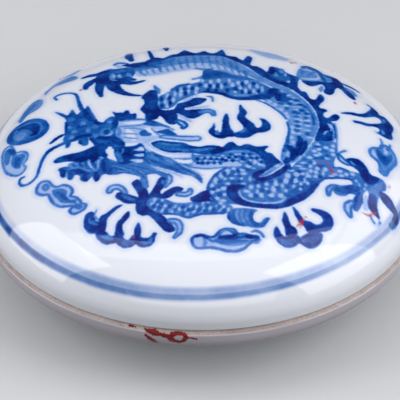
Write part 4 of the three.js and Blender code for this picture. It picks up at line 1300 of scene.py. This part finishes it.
def cobalt_painted_glaze():
    """Clear glaze over cobalt painting on white porcelain: wet gloss over blue that pools and bleeds."""
    material, tree = new_material("clear_glaze_over_cobalt_painting")
    place = node(tree, "TexCoord", out="Object")
    ring = brushed_ring(tree, place)
    laid = node(tree, "Math", {0: brushed_painting(tree, place), 1: ring}, operation="MAXIMUM")
    colour = GLAZE_WHITE
    for start, stop, blue in COBALT:
        amount = node(tree, "MapRange", {"Value": laid, "From Min": start, "From Max": stop})
        colour = node(tree, "Mix", {0: amount, 6: colour, 7: blue}, 2, data_type="RGBA")
    # Painted reflection: a violet-grey veil over the darker cobalt, growing toward the viewer.
    painted_veil = node(tree, "MapRange", {"Value": node(tree, "SeparateXYZ", {0: place}, "Y"), "From Min": -7 * MM,
                                     "From Max": -13 * MM, "To Min": 0, "To Max": 0.07})
    painted_veil = node(tree, "Math", {0: painted_veil, 1: node(tree, "MapRange", {"Value": laid, "From Max": 0.5})},
                  operation="MULTIPLY")
    colour = node(tree, "Mix", {0: painted_veil, 6: colour, 7: PAINTED_VEIL_VIOLET}, 2, data_type="RGBA")
    grey = node(tree, "MapRange", {"Value": ring, "From Min": 0, "From Max": 0.3, "To Min": 0, "To Max": 0.3})
    thick = node(tree, "MapRange", {"Value": ring, "From Min": 0.5, "From Max": 0.8,
                                    "To Min": 1, "To Max": 0.2})
    grey = node(tree, "Math", {0: grey, 1: thick}, operation="MULTIPLY")
    colour = node(tree, "Mix", {0: grey, 6: colour, 7: RING_GREY}, 2, data_type="RGBA")
    for speck in SPECKS:
        off = node(tree, "VectorMath", {0: place, 1: [MM * v for v in speck]}, 1, operation="DISTANCE")
        dark = node(tree, "MapRange", {"Value": off, "From Min": 0.25 * MM, "From Max": 0.5 * MM,
                                       "To Min": 0.8, "To Max": 0})
        colour = node(tree, "Mix", {0: dark, 6: colour, 7: "#2A2E58"}, 2, data_type="RGBA")
    smear = node(tree, "Attribute", out="Fac", attribute_name="smear")
    dabbed = node(tree, "TexNoise", {"Vector": place, "Scale": PER_MM / 0.5, "Detail": 4, "Roughness": 0.7})
    dabbed = node(tree, "MapRange", {"Value": dabbed, "From Min": 0.25, "From Max": 0.8,
                                     "To Min": -0.35, "To Max": 0.15})
    smear = node(tree, "Math", {0: smear, 1: dabbed}, operation="ADD")
    red = node(tree, "MapRange", {"Value": smear, "From Min": -0.3, "From Max": 0.25},
               interpolation_type=SOFT)
    colour = node(tree, "Mix", {0: red, 6: colour, 7: "#A8141E"}, 2, data_type="RGBA")
    peel = node(tree, "TexNoise", {"Vector": place, "Scale": PER_MM / 3})
    height = node(tree, "Math", {0: red, 1: 2.0, 2: peel}, operation="MULTIPLY_ADD")
    bump = node(tree, "Bump", {"Height": height, "Strength": 0.15, "Distance": 0.03 * MM})
    rough = node(tree, "MapRange", {"Value": red, "To Min": 0.05, "To Max": 0.4})
    shader = node(tree, "BsdfPrincipled", {"Base Color": colour, "Normal": bump, "Roughness": rough,
                                            "IOR": 1.55})
    node(tree, "OutputMaterial", {"Surface": shader})
    return material


def white_porcelain_glaze():
    """Clear glaze on white porcelain: wet gloss, faint orange peel, cloudy, greyer than the lid's outside and
    darker and pinkish near the rim as painted shade.
    """
    material, tree = new_material("feldspar_glaze_with_painted_shade")
    place = node(tree, "TexCoord", out="Object")
    cloud = node(tree, "TexNoise", {"Vector": place, "Scale": PER_MM / 12, "Detail": 3})
    cloud = node(tree, "MapRange", {"Value": cloud, "From Min": 0.3, "From Max": 0.7})
    # Painted shade: a greyer white than the lid's outside glaze, which is the same glaze.
    colour = node(tree, "Mix", {0: cloud, 6: "#C9CAD4", 7: "#D3D5DE"}, 2, data_type="RGBA")
    height = node(tree, "SeparateXYZ", {0: place}, "Z")
    # Painted shade: darker and pinkish from 6 mm below the rim upward, and all over the inside of the lid.
    painted_rim_shade = node(tree, "MapRange", {"Value": height, "From Min": (SEAM - 6) * MM, "From Max": (SEAM - 2) * MM,
                                   "To Max": 0.6}, interpolation_type=SOFT)
    colour = node(tree, "Mix", {0: painted_rim_shade, 6: colour, 7: "#A899A2"}, 2, data_type="RGBA")
    peel = node(tree, "TexNoise", {"Vector": place, "Scale": PER_MM / 3})
    bump = node(tree, "Bump", {"Height": peel, "Strength": 0.15, "Distance": 0.03 * MM})
    shader = node(tree, "BsdfPrincipled", {"Base Color": colour, "Normal": bump, "Roughness": 0.07,
                                            "IOR": 1.5})
    node(tree, "OutputMaterial", {"Surface": shader})
    return material


def bare_porcelain():
    """Fired porcelain without glaze: matt, a little pink, darker than the raw body as painted shade, with
    handling dirt in its grain.
    """
    material, tree = new_material("bare_ground_porcelain_painted_shade")
    place = node(tree, "TexCoord", out="Object")
    grain = node(tree, "TexNoise", {"Vector": place, "Scale": PER_MM / 0.4, "Detail": 4})
    body = node(tree, "MapRange", {"Value": grain, "From Min": 0.3, "From Max": 0.7})
    # Painted shade: these body colours are much darker than the raw body of the foot ring.
    colour = node(tree, "Mix", {0: body, 6: "#A1938F", 7: "#BDB1AD"}, 2, data_type="RGBA")
    dirt = node(tree, "TexNoise", {"Vector": place, "Scale": PER_MM / 5, "Detail": 3})
    dirt = node(tree, "MapRange", {"Value": dirt, "From Min": 0.45, "From Max": 0.7, "To Max": 0.5})
    colour = node(tree, "Mix", {0: dirt, 6: colour, 7: "#826C64"}, 2, data_type="RGBA")
    bump = node(tree, "Bump", {"Height": grain, "Strength": 0.3, "Distance": 0.05 * MM})
    shader = node(tree, "BsdfPrincipled", {"Base Color": colour, "Normal": bump, "Roughness": 0.6,
                                            "IOR": 1.5})
    node(tree, "OutputMaterial", {"Surface": shader})
    return material


def oily_cinnabar():
    """Cinnabar ground in oil on plant fibre: deep red, satin, with a fibrous grain."""
    material, tree = new_material("cinnabar_paste_in_oil")
    place = node(tree, "TexCoord", out="Object")
    grain = node(tree, "TexNoise", {"Vector": place, "Scale": PER_MM / 1.1, "Detail": 5, "Roughness": 0.65})
    body = node(tree, "MapRange", {"Value": grain, "From Min": 0.3, "From Max": 0.7})
    colour = node(tree, "Mix", {0: body, 6: "#5A0207", 7: "#8E070C"}, 2, data_type="RGBA")
    bump = node(tree, "Bump", {"Height": grain, "Strength": 0.6, "Distance": 0.3 * MM})
    shader = node(tree, "BsdfPrincipled", {"Base Color": colour, "Normal": bump, "Roughness": 0.35,
                                            "Specular IOR Level": 0.3})
    node(tree, "OutputMaterial", {"Surface": shader})
    return material


def stained_glaze():
    """The glaze inside the well, reddened near the paste and where paste was dragged up its wall."""
    material, tree = new_material("feldspar_glaze_stained_by_paste")
    place = node(tree, "TexCoord", out="Object")
    drag = node(tree, "TexNoise", {"Vector": place, "Scale": PER_MM / 6, "Detail": 4, "Roughness": 0.7})
    above = node(tree, "Math", {0: drag, 1: -6 * MM, 2: node(tree, "SeparateXYZ", {0: place}, "Z")},
                 operation="MULTIPLY_ADD")
    stain = node(tree, "MapRange", {"Value": above, "From Min": 6.5 * MM, "From Max": 9.5 * MM,
                                    "To Min": 0.85, "To Max": 0}, interpolation_type=SOFT)
    colour = node(tree, "Mix", {0: stain, 6: GLAZE_WHITE, 7: "#B2262A"}, 2, data_type="RGBA")
    rough = node(tree, "MapRange", {"Value": stain, "To Min": 0.08, "To Max": 0.35})
    shader = node(tree, "BsdfPrincipled", {"Base Color": colour, "Roughness": rough, "IOR": 1.5})
    node(tree, "OutputMaterial", {"Surface": shader})
    return material


def bare_foot():
    """The ground foot ring: raw body, flushed orange where the glaze stops, grey from standing about."""
    material, tree = new_material("raw_porcelain_foot_ring")
    place = node(tree, "TexCoord", out="Object")
    height = node(tree, "SeparateXYZ", {0: place}, "Z")
    grain = node(tree, "TexNoise", {"Vector": place, "Scale": PER_MM / 0.4, "Detail": 4})
    body = node(tree, "MapRange", {"Value": grain, "From Min": 0.3, "From Max": 0.7})
    colour = node(tree, "Mix", {0: body, 6: "#D8CFC6", 7: "#F0EAE3"}, 2, data_type="RGBA")
    flush = node(tree, "MapRange", {"Value": height, "From Min": 0.4 * MM, "From Max": 0.9 * MM,
                                    "To Min": 0, "To Max": 0.7})
    colour = node(tree, "Mix", {0: flush, 6: colour, 7: "#C98F5E"}, 2, data_type="RGBA")
    standing = node(tree, "MapRange", {"Value": height, "From Max": 0.2 * MM, "To Min": 1, "To Max": 0})
    scuffs = node(tree, "TexNoise", {"Vector": place, "Scale": PER_MM / 4, "Detail": 4})
    scuffs = node(tree, "MapRange", {"Value": scuffs, "From Min": 0.4, "From Max": 0.65, "To Max": 0.8})
    worn = node(tree, "Math", {0: standing, 1: scuffs}, operation="MULTIPLY")
    colour = node(tree, "Mix", {0: worn, 6: colour, 7: "#8F8781"}, 2, data_type="RGBA")
    bump = node(tree, "Bump", {"Height": grain, "Strength": 0.4, "Distance": 0.06 * MM})
    shader = node(tree, "BsdfPrincipled", {"Base Color": colour, "Normal": bump, "Roughness": 0.75,
                                            "IOR": 1.5})
    node(tree, "OutputMaterial", {"Surface": shader})
    return material


# The pieces.

glaze = white_porcelain_glaze()
bare = bare_porcelain()
lid = lid_mesh()
spots = np.array([v.co[:2] for v in lid.data.vertices]) / MM
art = Painting(spots)
paint(art)
outside = np.array([v.co.z for v in lid.data.vertices]) / MM > lid_height(np.hypot(*spots.T)) - 0.5
for tone, depth in art.layers.items():
    layer = lid.data.attributes.new(tone, "FLOAT", "POINT")
    layer.data.foreach_set("value", np.where(outside, depth, -REACH))
for material in (cobalt_painted_glaze(), bare, glaze):
    lid.data.materials.append(material)
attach(lid, "lid")
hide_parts("lid")
cinnabar = oily_cinnabar()
base = base_mesh()
for material in (glaze, bare, stained_glaze(), bare_foot(), cinnabar):
    base.data.materials.append(material)
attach(base, "base")
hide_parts("base")
paste = paste_mesh()
paste.data.materials.append(cinnabar)
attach(paste, "base")
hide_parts("seal_paste")


# The stage.

def floor():
    """Pale to the eye and in reflections, darker as a source of light from below."""
    bpy.ops.mesh.primitive_plane_add(size=6, location=(0, 0, 0))
    made = bpy.context.object
    made.name = "studio_floor"
    material, tree = new_material("pale_paper_sweep")
    place = node(tree, "TexCoord", out="Object")
    direct = 0
    for ray in ("Is Camera Ray", "Is Glossy Ray", "Is Transmission Ray"):
        direct = node(tree, "Math", {0: direct, 1: node(tree, "LightPath", out=ray)}, operation="MAXIMUM")
    fibre = node(tree, "TexNoise", {"Vector": place, "Scale": PER_MM / 1.5, "Detail": 4})
    fibre = node(tree, "MapRange", {"Value": fibre, "To Max": 0.12})
    pale = node(tree, "Mix", {0: fibre, 6: "#D2D3D6", 7: "#C4C5C8"}, 2, data_type="RGBA")
    colour = node(tree, "Mix", {0: direct, 6: "#303034", 7: pale}, 2, data_type="RGBA")
    shader = node(tree, "BsdfPrincipled", {"Base Color": colour, "Roughness": 0.9})
    node(tree, "OutputMaterial", {"Surface": shader})
    made.data.materials.append(material)


def softbox(name, centre, size, azimuth, tilt, radiance, roll=0):
    """A rectangular lamp. azimuth and tilt, in degrees, are where it faces, and roll turns it about that."""
    data = bpy.data.lights.new(name, "AREA")
    data.shape = "RECTANGLE"
    data.size, data.size_y = size
    data.energy = radiance * math.pi * size[0] * size[1]
    made = bpy.data.objects.new(name, data)
    bpy.context.scene.collection.objects.link(made)
    made.location = centre
    level = math.cos(math.radians(tilt))
    facing = Vector((math.sin(math.radians(azimuth)) * level, math.cos(math.radians(azimuth)) * level,
                     math.sin(math.radians(tilt))))
    turn = facing.to_track_quat("-Z", "Y") @ Quaternion((0, 0, 1), math.radians(roll))
    made.rotation_euler = turn.to_euler()


def leaning_softbox(name, azimuth, distance, aside, size, lean, radiance):
    """A softbox standing on the floor at an azimuth, its middle to one side and its top leaning in."""
    out = Vector((math.sin(math.radians(azimuth)), math.cos(math.radians(azimuth)), 0))
    along = Vector((out.y, -out.x, 0))
    tilt = math.radians(lean)
    up = Vector((0, 0, math.cos(tilt))) - out * math.sin(tilt)
    centre = out * distance + along * aside + Vector((0, 0, 0.01)) + up * size[1] / 2
    softbox(name, centre, size, azimuth + 180, -lean, radiance)


PHOTO_WIDTH = 400
PHOTO_FOCAL_LENGTH = 2132.1
SENSOR = 36


def camera():
    """Fitted to the photograph's outline, seam and blue ring, with its sizes in pixels."""
    data = bpy.data.cameras.new("camera")
    data.sensor_width = SENSOR
    data.lens = SENSOR * PHOTO_FOCAL_LENGTH / PHOTO_WIDTH
    made = bpy.data.objects.new("camera", data)
    bpy.context.scene.collection.objects.link(made)
    elevation = math.radians(36.69)
    roll = math.radians(-0.29)
    distance = 359.6 * MM
    aim = Vector((-0.31, 0, 10.75)) * MM
    made.location = aim + distance * Vector((0, -math.cos(elevation), math.sin(elevation)))
    turn = Euler((math.pi / 2 - elevation, 0, 0)).to_matrix() @ Euler((0, 0, roll)).to_matrix()
    made.rotation_euler = turn.to_euler()
    bpy.context.scene.camera = made


floor()
leaning_softbox("softbox_left", -112, 0.45, 0.13, (0.315, 0.46), 20, 2.7)
leaning_softbox("softbox_right", 125, 0.45, -0.105, (0.33, 0.64), 10, 2.5)
softbox("overhead_strip", (0, 0.054, 0.52), (0.79, 0.19), 0, -90, 1.5, 3.5)
softbox("ceiling_bounce", (0.2, -0.28, 0.56), (1.3, 0.5), 0, -90, 0.6)
softbox("front_fill", (0, -0.8, 0.5), (1.2, 0.5), 0, -32, 1.27)
softbox("right_bounce", (0.8, 0.2, 0.5), (0.9, 0.6), -104, -31, 1.0)
world = bpy.data.worlds.new("studio")
bpy.context.scene.world = world
world.use_nodes = True
world.node_tree.nodes["Background"].inputs[0].default_value = linear("#E1EAFF")
world.node_tree.nodes["Background"].inputs[1].default_value = 0.065
camera()
bpy.context.scene.view_settings.view_transform = "Standard"
